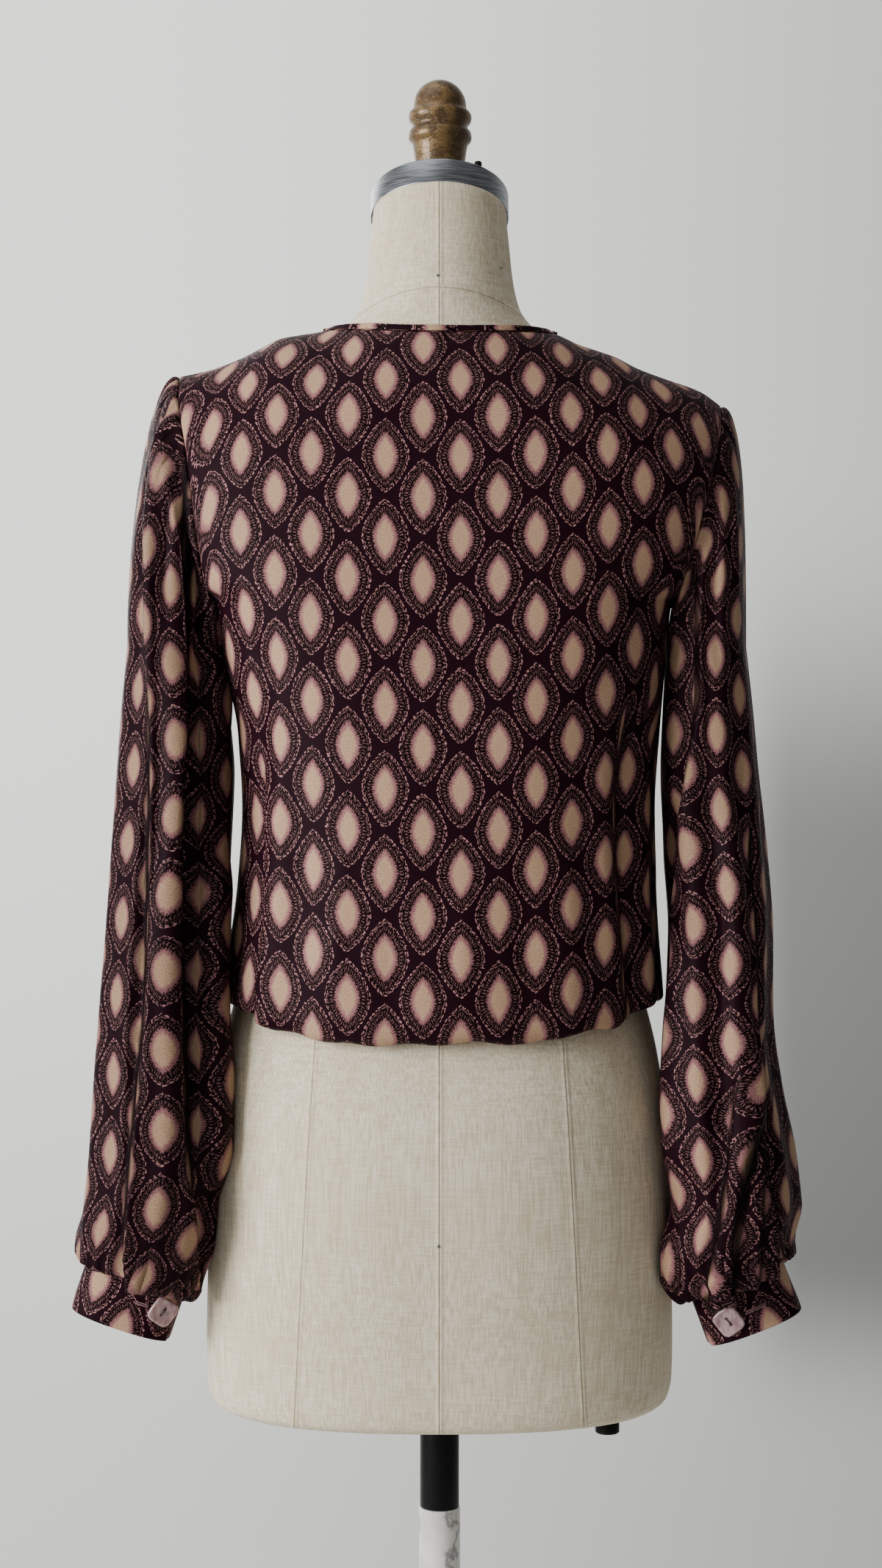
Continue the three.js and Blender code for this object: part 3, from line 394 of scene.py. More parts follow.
def shell(name, outer, normals, uv, wall, round_grid, material, shade=None):
    """Closed thin cloth from a grid of outer points; uv has one column more if it goes round."""
    rows, columns = outer.shape[:2]
    inner = outer - normals * wall
    points = np.concatenate((outer.reshape(-1, 3), inner.reshape(-1, 3)))
    under = rows * columns
    cells = columns if round_grid else columns - 1
    r, c = np.meshgrid(np.arange(rows - 1), np.arange(cells), indexing="ij")
    r, c = r.ravel(), c.ravel()
    n = (c + 1) % columns
    corners = [(r, c, c), (r, n, c + 1), (r + 1, n, c + 1), (r + 1, c, c)]
    quad = np.stack([a * columns + b for a, b, _ in corners], axis=1)
    tex = np.stack([uv[a, b] for a, _, b in corners], axis=1)
    centre = outer.reshape(-1, 3)[quad]
    facing = np.cross(centre[:, 1] - centre[:, 0], centre[:, 3] - centre[:, 0])
    flip = np.sum(facing * normals.reshape(-1, 3)[quad[:, 0]]) < 0
    faces = [quad, quad[:, ::-1] + under]
    tiles = [tex, tex[:, ::-1]]

    def rim(line, order):
        a, b = line[:-1], line[1:]
        faces.append(np.stack([a, a + under, b + under, b], axis=1)[:, ::order])
        ta, tb = flat[a], flat[b]
        tiles.append(np.stack([ta, ta, tb, tb], axis=1)[:, ::order])

    flat = uv[:, :columns].reshape(-1, 2)
    bottom, top = np.arange(columns), np.arange(columns) + (rows - 1) * columns
    if round_grid:
        bottom, top = np.append(bottom, bottom[0]), np.append(top, top[0])
    rim(bottom, 1)
    rim(top, -1)
    if not round_grid:
        rim(np.arange(rows) * columns, -1)
        rim(np.arange(rows) * columns + columns - 1, 1)
    faces, tiles = np.concatenate(faces), np.concatenate(tiles)
    if flip:
        faces, tiles = faces[:, ::-1], tiles[:, ::-1]
    if shade is None:
        shade = np.zeros((rows, columns))
    both = np.tile(shade.ravel(), 2)
    return mesh_object(name, points, faces.tolist(), tiles.reshape(-1, 2), material, both)


def fine(high, count):
    """Evenly spaced values from nought, with a few more near both ends for the seams."""
    even = np.linspace(0, high, count)
    ends = even[1] * np.array([0.08, 0.28, 0.6])
    return np.unique(np.round(np.concatenate((even, ends, high - ends)), 6))


# place across the panel, how far the hem hangs below the panel's lower edge
HEM_LEFT = ((0, 13), (0.15, 14), (0.3, 13.5), (0.42, 9), (0.55, 6), (0.71, 6), (0.85, 5), (1, 3))
HEM_RIGHT = ((0, 13), (0.12, 12), (0.25, 14), (0.36, 9.5), (0.485, 6), (0.62, 8), (0.72, 4), (1, 2))
# line of points height and distance, rise of the step, half width, tucked cloth, slip
BACK_RIDGES = (
    (((20, 116), (-30, 113.3), (-82, 113.3), (-110, 115.6), (-143, 119)), -4.5, 1.6, 14, 0),
    (
        ((60, -120), (35, -118), (-7, -113), (-54, -114), (-105, -117.5), (-148, -121)),
        3.0, 5.0, 26, 0,
    ),
)
FRONT_RIDGES = (
    (((90, 92), (10, 88), (-60, 90), (-148, 96)), -3.5, 2.0, 14, 0),
    (((60, -74), (-20, -78), (-90, -80), (-148, -84)), 3.5, 2.0, 14, 0),
)
# x0, z0, x1, z1, bend, half width, depth, as seen from behind or from the front
BACK_CREASES = (
    (-118, 40, -128, -130, 6, 7, -2.2), (-104, 10, -118, -140, 4, 7, 2.0),
    (-136, 60, -140, -60, 4, 6, 2.0), (118, 90, 126, -120, -6, 8, -2.2),
    (104, 60, 112, -140, -4, 8, 1.8), (90, 0, 96, -140, -4, 7, -1.6),
    (128, 118, 96, 60, 6, 8, -1.8), (-134, 118, -100, 60, -6, 8, -1.6),
    (60, -40, 66, -150, 2, 8, 1.5), (26, -70, 30, -150, 2, 8, -1.3),
    (-14, -60, -12, -150, -2, 9, 1.4), (-50, -50, -54, -150, -2, 8, -1.5),
    (-78, -20, -84, -150, -2, 8, 1.4), (20, 215, 70, 240, 5, 16, 0.9),
    (-30, 180, -90, 210, -5, 18, -0.9), (0, 60, 50, 20, 8, 22, -1.0),
    (-30, 40, -80, 10, -8, 22, 1.0),
)
FRONT_CREASES = (
    (112, 60, 122, -140, -6, 8, -2.2), (84, 40, 90, -140, -4, 8, 2.0),
    (46, 20, 50, -150, 3, 8, -1.8), (10, 0, 12, -150, -3, 9, 1.7),
    (-24, 10, -28, -150, 3, 8, -1.9), (-60, 30, -66, -150, 3, 8, 1.8),
    (-96, 50, -104, -150, 3, 8, -2.0), (-124, 80, -130, -110, 3, 7, 1.8),
    (130, 110, 70, 80, 8, 9, -1.9), (-130, 110, -70, 84, -8, 9, -1.7),
    (70, 80, 30, 96, 6, 12, 1.2), (-66, 84, -24, 92, -6, 12, 1.1), (60, 210, 90, 140, 5, 14, -1.0),
    (-62, 214, -96, 140, -5, 14, -1.0),
)


def hem_low(across):
    """How far the blouson hangs below the panel."""
    left = np.interp(np.abs(across), *np.array(HEM_LEFT).T)
    right = np.interp(np.abs(across), *np.array(HEM_RIGHT).T)
    return np.where(across >= 0, left, right) + 0.9 * np.cos(np.pi * 11 * across)


def hem_lift(across, z):
    """How much the cloth's lower part rises towards the side seams."""
    return 10 * smooth(np.abs(across), 0.45, 0.78) * smooth(z, -95, -150)


def panel_surface(face):
    """Grid of a panel's points: turned hem, body and armhole rows, up to the shoulder and neck."""
    sign = 1 if face == "back" else -1
    folds = BACK_FOLDS if face == "back" else FRONT_FOLDS
    c = fine(COLUMNS, 157)
    across = (c - MIDDLE) / MIDDLE
    around = np.sin(np.pi / 2 * across)

    def level(z):
        z = np.asarray(z, float)[:, None]
        x = body_width(around, z) * around
        depth = surface_depth(face, x, z)
        fold = sum(
            deep * np.clip((top - z) / FOLD_RISE, 0, 1) * np.exp(-(((across - at) / wide) ** 2))
            for at, wide, deep, top in folds
        )
        edge = np.minimum((1 - np.abs(around)) * 8, 1)
        scale = 1 + fold * edge / PANEL_DEPTH
        return stack(x * scale, sign * (depth * scale + SEAM_GAP / 2), z + 0 * x)

    hem = level([HEM])[0]

    def snug(z):
        power = form_power(z)
        x = (form_width(z) + FORM_GAP) * around
        y = (form_depth[face](z) + FORM_GAP) * (1 - np.abs(around) ** power) ** (1 / power)
        return stack(x, sign * (y + SEAM_GAP / 2), z + 0 * x)

    def roll(inward, drop):
        point = mix(hem, snug(HEM), inward)
        point[:, 2] = HEM - drop * hem_low(across)
        return point

    rows = [snug(HEM + 22), snug(HEM + 14), snug(HEM + 1)]
    rows += [roll(0.72, 0.75), roll(0.4, 1), roll(0.12, 0.7)]
    rows += [hem, level([-130])[0]]
    turned = spline(rows, (4, 5, 5, 5, 4))
    levels = list(level(np.arange(HEM + PANEL_STEP, UNDERARM - 1, PANEL_STEP)))

    left = c >= MIDDLE
    neck = np.where(left, *NECK_POINT)
    point = np.where(left, *SHOULDER_POINT)
    inside = np.where(left, 1.0, -1.0)
    from_edge = np.minimum(c, COLUMNS - c)
    on_shoulder = from_edge <= SHOULDER_COLUMNS
    step = np.clip(from_edge - SHOULDER_COLUMNS, 0, 6)
    shoulder_x = mix(point, neck, np.clip(from_edge / SHOULDER_COLUMNS, 0, 1))
    if face == "back":
        end = ridge(inside, neck) - SHOULDER_SEAM_DROP
        share = curve(BACK_NECK, 1)(step)
        neck_z = mix(BACK_NECK_CENTRE, end, share**2)
        top_z = np.where(on_shoulder, ridge(inside, shoulder_x) - SHOULDER_SEAM_DROP, neck_z)
        wrap = np.zeros_like(c)
    else:
        share = curve(FRONT_NECK, 1)(step)
        neck_z = ridge(inside, neck) - curve(FRONT_NECK, 2)(step)
        top_z = np.where(on_shoulder, ridge(inside, shoulder_x), neck_z)
        wrap = np.clip(SHOULDER_COLUMNS + 1 - from_edge, 0, 1)
    top_x = inside * np.where(on_shoulder, shoulder_x, neck * share)
    edge_z = np.where(left, top_z[-1], top_z[0])
    k = fine(ARM_ROWS, 113)
    t = k[:, None]
    last = ARM_ROWS - wrap
    share = (1 - np.cos(np.pi * np.minimum(t, last) / last)) / 2
    edge = armhole(inside, mix(UNDERARM, edge_z, share))
    f = mix(np.abs(around), np.abs(top_x) / point, share)
    x = edge * f * inside
    z = mix(UNDERARM, top_z, share)
    y = sign * (surface_depth(face, x, z) + SEAM_GAP / 2 * (1 - share))
    over = np.clip(t - last, 0, 1)
    fallen = ridge(inside, np.abs(top_x)) - SHOULDER_SEAM_DROP * over**2
    wrapped = over > 0
    x = np.where(wrapped, top_x, x)
    z = np.where(wrapped, np.where(on_shoulder, fallen, z), z)
    y = np.where(wrapped & (wrap > 0), surface_depth("back", x, np.minimum(z, fallen)), y)
    arm = stack(x, y, z)
    grid = np.array(turned + levels + list(arm))
    grid[..., 2] += hem_lift(across, grid[..., 2])
    first_arm = len(turned) + len(levels)
    normals = grid_normals(grid, False, grid * [0, 0, 1])
    return {"face": face, "c": c, "k": k, "grid": grid, "normals": normals, "arm": first_arm}


def side_rise(x):
    """How much higher the cloth's grain lies at the sides than at the centre back."""
    return np.where(x >= 0, 6 * (x / 100) ** 2, 11 * (x / 116) ** 2)


def make_panel(made, material):
    """Cloth of a panel with its creases and folds, and its flat width and length."""
    face, grid, normals = made["face"], made["grid"], made["normals"]
    behind = face == "back"
    x, z = grid[..., 0], grid[..., 2]
    from_side, up = lengths(grid, 1), lengths(grid, 0)
    side = np.minimum(from_side, from_side[:, [-1]] - from_side)
    above_hem = smooth(z, -175, -150)
    fade = above_hem * (1 - smooth(z, 250, 285)) * smooth(side, 0, 12)
    push = creases(x, z, BACK_CREASES if behind else FRONT_CREASES) * fade
    push = push - edge_roll(side) - edge_roll(up[[-1]] - up)
    step, tucked, slip, shade = overlaps(x, z, BACK_RIDGES if behind else FRONT_RIDGES)
    outer = grid + normals * (push + step * above_hem)[..., None]
    middle = int(np.argmin(np.abs(made["c"] - MIDDLE)))
    zero = int(np.argmin(np.abs(z[:, middle])))
    u = from_side - from_side[:, [middle]] + tucked
    v = up - up[[zero]] + z[zero, middle] + slip
    if behind:
        v = v - side_rise(x)
    else:
        u = -u
    uv = np.stack((u, v), axis=-1) * MM
    piece = shell(f"cloth_{face}", outer, normals, uv, CLOTH, False, material, shade)
    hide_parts(f"blouse_{face}")
    return piece, float(np.ptp(u[made["arm"]])) * MM, float(np.max(up)) * MM


# angle at the top, z, angle at the bottom, z, bend in degrees, half width, depth
SLEEVE_CREASES = {
    "left": (
        (60, 230, 80, 60, 4, 5, 2.2), (88, 230, 100, 90, -3, 5, -2.4),
        (40, 225, 52, 90, 3, 6, -1.8), (112, 190, 108, 20, 4, 6, 2.0),
        (82, 60, 84, -120, 3, 6, -2.4), (92, -60, 90, -250, -3, 6, 2.2),
        (110, -20, 112, -230, 3, 6, -2.0), (50, 20, 56, -200, -4, 7, 1.8),
        (134, 100, 140, -60, 3, 7, -1.6), (20, 80, 14, -160, 5, 9, -1.6),
        (-10, 150, -12, -100, 5, 9, 1.6), (-45, 180, -50, -180, -6, 8, -2.0),
        (-88, 170, -90, -60, 5, 8, 2.0), (-92, -60, -84, -260, -5, 7, -2.2),
        (-60, -90, -58, -265, 4, 6, 2.0), (-130, 60, -128, -200, 5, 8, 1.6),
    ),
    "right": (
        (66, 225, 60, 70, -4, 6, 2.0), (92, 215, 84, 60, 3, 5, -2.2),
        (112, 180, 102, 20, 3, 6, 2.0), (60, 40, 66, -140, 4, 7, -2.2),
        (98, -20, 98, -200, -3, 6, -2.2), (72, -80, 70, -260, 3, 6, 2.2),
        (126, 40, 130, -120, -4, 7, 1.6), (34, 100, 30, -120, 5, 9, 1.6),
        (10, -40, 8, -240, -5, 9, -1.6), (-20, 160, -20, -60, 5, 9, 1.6),
        (-56, 170, -60, -160, -6, 8, -2.0), (-98, 160, -100, -80, 5, 8, 2.0),
        (-84, -90, -96, -262, 5, 7, -2.2), (-58, -110, -56, -265, -4, 6, 2.0),
        (-140, 40, -136, -200, 5, 8, 1.5),
    ),
}
# degrees round the sleeve that count as one millimetre of its height in the creases' lines
CREASE_TURN = 0.35
# line of points height and distance down the sleeve's back, rise of the step outwards,
# half width, tucked cloth, slip
SLEEVE_RIDGES = {
    "left": (
        (
            ((262, 176), (242, 183.5), (221, 188.5), (172, 192), (100, 193), (31, 189.5),
             (-63, 189.5), (-143, 189.4), (-231, 197.4), (-305, 203)),
            -9, 1.5, 30, -9,
        ),
        (
            ((240, 164), (195, 167), (120, 166), (31, 165), (-40, 167.3), (-110, 167),
             (-180, 163.6), (-231, 161.7), (-270, 156), (-300, 155.6)),
            12, 2.6, 24, 0,
        ),
        (
            ((172, 160), (153, 157), (78, 150.4), (-16, 149), (-86, 149), (-180, 145),
             (-251, 145.7), (-298, 147.6)),
            -9, 4.5, 0, 0,
        ),
    ),
    "right": (
        (
            ((158, 170), (136, 168.7), (118, 168), (58, 168.3), (40, 165.5), (8, 161),
             (-21, 159), (-63, 156), (-110, 152), (-157, 148), (-204, 145.7)),
            10, 2.6, 8, 0,
        ),
        (((-10, 203), (-25, 203), (-50, 202), (-80, 205), (-110, 206)), -6, 2.2, 8, 0),
        (
            ((-148, 205.8), (-171, 207), (-212, 209), (-253, 212), (-281, 218.5), (-302, 220)),
            -9, 1.8, 22, 0,
        ),
        (((-176, 190.3), (-240, 185.6), (-274, 179.5), (-315, 174)), 9, 2.2, 16, 0),
        (((-195, 203), (-232, 198.3), (-270, 192.7), (-298, 189)), -8, 3.0, 12, 0),
    ),
}
# heights between which the sleeve hangs clear of the body's edge, seen from behind
COVER_GAP = {"left": (24, -40), "right": (-36, -84)}
# fold that covers the body's edge above and below them: angle, half width, depth
COVER_FOLD = (146, 24, 8)
# how dark the painted shade over the whole back of a sleeve is, where one is a fold's foot
SLEEVE_SHADE = {"left": 0.34, "right": 0.2}
# place from the sleeve's top of the row whose length round gives the print's width
PRINT_ROW = 38


def cuff_frame(side):
    """Middle of the cuff's lower edge, its way up and its way outwards."""
    sign = SIGN[side]
    x, y, z, lean, _, _ = CUFFS[side]
    lean = math.radians(lean)
    up = np.array([-sign * math.sin(lean), 0, math.cos(lean)])
    across = np.array([sign * math.cos(lean), 0, math.sin(lean)])
    return np.array([sign * x, y, z], float), up, across


def cuff_point(side, degrees, above, grow):
    """Points round the cuff at a height, moved out by grow."""
    foot, up, across = cuff_frame(side)
    wide, deep = CUFFS[side][4:]
    turn = np.radians(degrees)
    x = (wide + grow) * rounded(np.cos(turn), CUFF_POWER)
    y = (deep + grow) * rounded(np.sin(turn), CUFF_POWER)
    above = np.broadcast_to(above, np.shape(x))
    return foot + above[..., None] * up + x[..., None] * across + stack(0 * x, y, 0 * x)


def lap_growth(turned):
    """How far out the cuff's lapping end lies."""
    return CUFF_LAP * np.clip((turned - 250) / 90, 0, 1)


def cuff_lap_at(degrees):
    turned = (degrees - CUFF_START + 720) % 360
    lapped = turned + 360 <= CUFF_TURN + 0.01
    return lap_growth(np.where(lapped, turned + 360, turned))


def clear_of_body(point, side, margin):
    """Keeps a sleeve's points outside the body or the form beside it."""
    sign = SIGN[side]
    x, y, z = np.moveaxis(point, -1, 0)
    on_blouse = z > -166
    level = np.maximum(z, np.where(on_blouse, HEM, FORM[0][0]))
    back = y >= 0
    wide = np.where(on_blouse, body_width(sign + 0 * x, level), form_width(level))
    blouse = np.where(back, body_depth["back"](level), body_depth["front"](level))
    form = np.where(back, form_depth["back"](level), form_depth["front"](level))
    deep = np.where(on_blouse, blouse, form) + margin
    power = np.where(on_blouse, body_power(level), form_power(level))
    share = np.minimum(np.abs(y) / deep, 1)
    limit = (wide + margin) * (1 - share**power) ** (1 / power)
    clear = np.where(z > UNDERARM, sign * x, np.maximum(sign * x, limit))
    return stack(sign * clear, y, z)


def armhole_loop(panels, side, j):
    """Points and normals of the armhole's edge: up the back, down the front."""
    column = -1 if side == "left" else 0
    points, normals = np.zeros((len(j), 3)), np.zeros((len(j), 3))
    for made, k, mask in (
        (panels["back"], j, j <= ARM_ROWS),
        (panels["front"], 2 * ARM_ROWS - j, j > ARM_ROWS),
    ):
        edge = made["grid"][made["arm"] :, column]
        facing = made["normals"][made["arm"] :, column]
        for axis in range(3):
            points[mask, axis] = np.interp(k[mask], made["k"], edge[:, axis])
            normals[mask, axis] = np.interp(k[mask], made["k"], facing[:, axis])
    return points, unit(normals)


def pleats(degrees, table):
    """Sum of the folds that run all down a sleeve."""
    total = np.zeros_like(degrees)
    for at, wide, deep in table:
        gap = (degrees - at + 540) % 360 - 180
        total = total + deep * np.exp(-((gap / wide) ** 2))
    return total


def uneven_gathers(degrees, count, seed):
    """Gathers all round a seam, none as wide or deep as the next."""
    random = np.random.default_rng(seed)
    edges = np.cumsum(random.uniform(0.6, 1.4, count))
    edges = edges / edges[-1] * 360
    heights = random.uniform(0.55, 1.0, count)
    turn = (degrees + 720) % 360
    starts = np.concatenate(([0], edges[:-1]))
    k = np.clip(np.searchsorted(edges, turn, side="right"), 0, count - 1)
    t = (turn - starts[k]) / (edges[k] - starts[k])
    return heights[k] * np.sin(np.pi * t) ** 0.8 - 0.45


def sleeve_surface(panels, side):
    """Rows of a sleeve from the armhole down into the cuff, and the length down them."""
    sign = SIGN[side]
    count = 2 * ARM_ROWS
    even = full_turn(SLEEVE_COLUMNS)
    j = (even - 0.36 * np.sin(even)) / (2 * np.pi) * count
    angle = np.pi - j * 2 * np.pi / count
    degrees = np.degrees(angle)
    parts = [curve(SLEEVES[side][::-1], column) for column in (1, 2, 3, 4, 5)]
    points, facing = armhole_loop(panels, side, j)
    along = np.roll(points, -1, axis=0) - np.roll(points, 1, axis=0)
    out = unit(np.cross(facing, along)) * sign
    if np.sum(out[:, 0]) * sign < 0:
        out = -out
    fold = pleats(degrees, SLEEVE_FOLDS[side]) - 1.5
    covering = pleats(degrees, (COVER_FOLD,))
    opens = COVER_GAP[side]

    def ring(z):
        outer, inner, y, deep, strength = (part(z) for part in parts)
        covers = max(smooth(z, opens[0], opens[0] + 35), smooth(z, opens[1], opens[1] - 35))
        extra = fold * strength + covering * covers * smooth(z, -278, -230)
        x = sign * (outer + inner) / 2
        x = x + sign * ((outer - inner) / 2 + extra) * rounded(np.cos(angle), SLEEVE_POWER)
        y = y + (deep + extra) * rounded(np.sin(angle), SLEEVE_POWER)
        return clear_of_body(stack(x, y, z + 0 * x), side, SLEEVE_CLEARANCE)

    high = ((1 + np.cos(angle)) / 2)[:, None]
    start = points + out * ARMHOLE_GAP
    first = ring(SLEEVE_TOP)
    upward = np.concatenate((sign * mix(5, 3, high), 0 * high, mix(2, 7, high)), axis=1)
    leave = start + out * mix(8, 16, high) + upward
    arrive = first + np.concatenate((0 * high, 0 * high, mix(14, 95, high)), axis=1)
    cap_gather = uneven_gathers(degrees + 11, HEAD_GATHERS, SEEDS[side][0])
    rows, smooth_rows = [], []
    steps = np.concatenate(([0, 0.004, 0.012, 0.026], np.linspace(0.045, 1, 44)))
    for t in steps:
        a = mix(start, leave, t)
        b = mix(leave, arrive, t)
        c = mix(arrive, first, t)
        point = mix(mix(a, b, t), mix(b, c, t), t)
        smooth_rows.append(clear_of_body(point, side, HEAD_CLEARANCE))
        fade = smooth(high[:, 0], 0.42, 0.75) * smooth(t, 0.0, 0.06) * (1 - smooth(t, 0.12, 0.5))
        point = point + facing * (cap_gather * fade * HEAD_GATHER_DEPTH)[:, None]
        bulge = covering * 3.6 * t * (1 - t)
        point = point + stack(sign * np.cos(angle) * bulge, np.sin(angle) * bulge, 0 * bulge)
        rows.append(clear_of_body(point, side, HEAD_CLEARANCE))
    reference = len(rows) - 1
    rows += [ring(z) for z in np.arange(SLEEVE_TOP - SLEEVE_ROW, SLEEVE_END, -SLEEVE_ROW)]
    foot, up, across = cuff_frame(side)
    gathers = uneven_gathers(degrees, END_GATHERS, SEEDS[side][1])

    def pouf(above, wide, deep, lean, gather):
        lean = unit(mix(np.array([sign, 0, 0], float), across, lean))
        extra = gathers * gather * END_GATHER_DEPTH
        x = (wide + extra) * rounded(np.cos(angle), SLEEVE_POWER)
        y = (deep + extra) * rounded(np.sin(angle), SLEEVE_POWER)
        point = foot + up * above + x[:, None] * lean + stack(0 * x, y, 0 * x)
        return clear_of_body(point, side, SLEEVE_CLEARANCE)

    def on_cuff(above, gap):
        return cuff_point(side, degrees, above, cuff_lap_at(degrees) + gap)

    end = [ring(-240.0), rows[-1], pouf(*POUF[0]), pouf(*POUF[1])]
    outward = unit(on_cuff(40, 5) - on_cuff(40, 0))
    end.append(on_cuff(*POUF_RETURN) + outward * (gathers * 1.2)[:, None])
    end += [on_cuff(CUFF_HEIGHT + 0.6, 0), on_cuff(CUFF_HEIGHT + 6, 0)]
    rows += spline(end, (12, 10, 12, 6))[1:]
    grid = np.array(rows)
    down = lengths(np.array(smooth_rows + rows[len(smooth_rows) :]), 0)
    normals = grid_normals(grid, True, grid.mean(axis=1, keepdims=True))
    normals[0] = facing
    return grid, normals, degrees, down, reference


def make_sleeve(panels, side, material):
    """Cloth of a sleeve with its creases and folds, and its length."""
    grid, normals, degrees, down, reference = sleeve_surface(panels, side)
    z = grid[..., 2]
    spread = (degrees + 540) % 360 - 180
    table = np.array(SLEEVE_CREASES[side], float)
    table[:, [1, 3]] *= CREASE_TURN
    push = creases(np.broadcast_to(spread, z.shape), z * CREASE_TURN, table)
    push = push * smooth(down, 4, 30)
    sign = SIGN[side]
    on_back = smooth(np.sin(np.radians(degrees)), 0.02, 0.4)
    step, tucked, slip, shade = overlaps(grid[..., 0] * sign, z, SLEEVE_RIDGES[side])
    push = push + step * on_back * smooth(down, 2, 20)
    push -= edge_roll(down)
    outer = grid + normals * push[..., None]
    hidden, slid = (sum(row[k] for row in SLEEVE_RIDGES[side]) for k in (3, 4))
    behind = (degrees > 0)[None, :]
    tucked = np.where(behind, tucked, hidden)
    slip = np.where(behind, slip, slid)
    ring = grid[reference + PRINT_ROW]
    around = lengths(np.concatenate((ring, ring[:1]))[None], 1)
    u = around + np.concatenate((tucked, tucked[:, -1:]), axis=1)
    u[:, -1] = around[0, -1] + hidden
    rise = down[[reference]] - down + slip
    v = np.concatenate((rise, rise[:, :1]), axis=1)
    v[:, -1] += slid
    uv = np.stack((u, v), axis=-1) * MM
    # painted shade over the sleeve's back, at least SLEEVE_SHADE, as well as at the folds' feet
    shade = np.maximum(shade, SLEEVE_SHADE[side]) * on_back
    piece = shell(f"cloth_{side}_sleeve", outer, normals, uv, CLOTH, True, material, shade)
    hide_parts(f"{side}_sleeve")
    return piece, float(down.max()) * MM


def make_cuff(side, material):
    """Band with one end lapped over the other, and its length."""
    turned, above = fine(CUFF_TURN, 200), fine(CUFF_HEIGHT, 26)
    lap = lap_growth(turned)
    grid = np.array([cuff_point(side, CUFF_START + turned, h, lap) for h in above])
    foot, up, _ = cuff_frame(side)
    normals = grid_normals(grid, False, foot + above[:, None, None] * up)
    around, high = lengths(grid, 1), lengths(grid, 0)
    ends = np.minimum(around, around[:, [-1]] - around)
    edge = np.minimum(np.minimum(high, high[[-1]] - high), ends)
    random = np.random.default_rng(SEEDS[side][2])
    soft = sum(
        random.uniform(0.1, 0.3)
        * np.sin(around / random.uniform(6, 15) + high / random.uniform(9, 20) + start)
        for start in random.uniform(0, 6, 5)
    )
    push = soft * smooth(edge, 0, 6) * 0.5 - edge_roll(edge, 1.2, 0.55)
    outer = grid + normals * push[..., None]
    uv = np.stack((around, high), axis=-1) * MM
    piece = shell(f"cloth_{side}_cuff", outer, normals, uv, CUFF_CLOTH, False, material)
    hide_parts(f"{side}_cuff")
    return piece, float(around.max()) * MM


def make_binding(panels, material):
    """Narrow band on the neckline's edge, all round."""
    edges = []
    for face, margin, order in (("back", 0, 1), ("front", 0.06, -1)):
        made = panels[face]
        take = np.abs(made["c"] - MIDDLE) <= MIDDLE - SHOULDER_COLUMNS - margin
        edges.append([made[kind][-1][take][::order] for kind in ("grid", "normals")])
    points, normals = (np.concatenate(pair) for pair in zip(*edges))
    normals = unit(normals)
    for _ in range(6):
        normals = unit(np.roll(normals, 1, axis=0) + 2 * normals + np.roll(normals, -1, axis=0))
    along = unit(np.roll(points, -2, axis=0) - np.roll(points, 2, axis=0))
    out = unit(np.cross(normals, along))
    if out[int(np.argmax(points[:, 1]))][2] < 0:
        out = -out
    upright = 1.3 * smooth(points[:, 1], 10, 50)[:, None]
    out = unit(out + upright * np.array([0, 0, 1]))
    normals = unit(normals - out * np.sum(normals * out, axis=1, keepdims=True))
    length = lengths(points[None], 1)[0]
    pucker = 0.12 * np.sin(length / 3.1) + 0.1 * np.sin(length / 7.3 + 1)
    bend = np.linspace(0, np.pi, 9)
    section = []
    for half, order in ((0.95, 1), (0.4, -1)):
        fold = [(0.3, half), (1.6, half), (2.9, half)]
        fold += [(4.05 + half * math.sin(a), half * math.cos(a)) for a in bend]
        fold += [(2.9, -half), (1.6, -half), (0.3, -half)]
        section += fold[::order]
    rows = []
    for high, deep in section:
        deep = deep * (1 + pucker * smooth(high, 0.3, 2)) - 0.75
        rows.append(points + out * high + normals * deep[:, None])
    faces = ring_faces(len(rows), len(points), closed=True)
    around = np.append(length, length[-1] + 1) * MM
    uvs = ring_uvs(around, np.arange(len(rows) + 1) * 0.7 * MM)
    piece = mesh_object("cloth_binding", np.concatenate(rows), faces, uvs, material)
    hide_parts("neck_binding")
    return piece, float(length.max()) * MM


def form_lift(y, z):
    """How much the neck's tilt raises a point of the form."""
    tilt = float(form_tilt(z))
    return (y - CAP_Y * tilt / NECK_TILT) * math.tan(math.radians(tilt))


def make_torso(material):
    z = np.unique(np.concatenate((
        np.linspace(-418, -396, 14), np.linspace(-396, 262, 150), np.linspace(262, CAP_Z, 60)
    )))
    count = 192
    turn = full_turn(count)
    rows = []
    for h in z:
        power = form_power(h)
        across = rounded(np.sin(turn), power)
        y = np.where(across >= 0, form_depth["back"](h), form_depth["front"](h)) * across
        x = form_width(h) * rounded(np.cos(turn), power)
        rows.append(stack(x, y, h + form_lift(y, h)))
    points = np.concatenate(rows)
    size, last = len(points), len(points) - count
    hubs = [points[:count].mean(axis=0), points[last:].mean(axis=0)]
    faces = ring_faces(len(z), count)
    for c in range(count):
        n = (c + 1) % count
        faces += [(size, n, c), (size + 1, last + c, last + n)]
    uvs = ring_uvs(np.arange(count + 1) / count, z) + [(0, 0)] * (6 * count)
    points = np.concatenate((points, hubs))
    torso = mesh_object("linen_torso", points, faces, uvs, material)
    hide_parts("form_torso")


def lathe(name, section, sides, material, node, tilt=0.0, at=(0, 0, 0)):
    """Turned piece from a section of radius and height."""
    turn = full_turn(sides)
    rows = []
    for radius, h in section:
        x, y = radius * np.cos(turn), radius * np.sin(turn)
        y, z = y * math.cos(tilt) - h * math.sin(tilt), y * math.sin(tilt) + h * math.cos(tilt)
        rows.append(stack(x, y, z) + at)
    uvs = ring_uvs(np.arange(sides + 1) / sides, [h * MM for _, h in section])
    uvs += [(0, 0)] * (2 * sides)
    faces = capped_faces(len(rows), sides)
    made = mesh_object(name, np.concatenate(rows), faces, uvs, material)
    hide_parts(node)


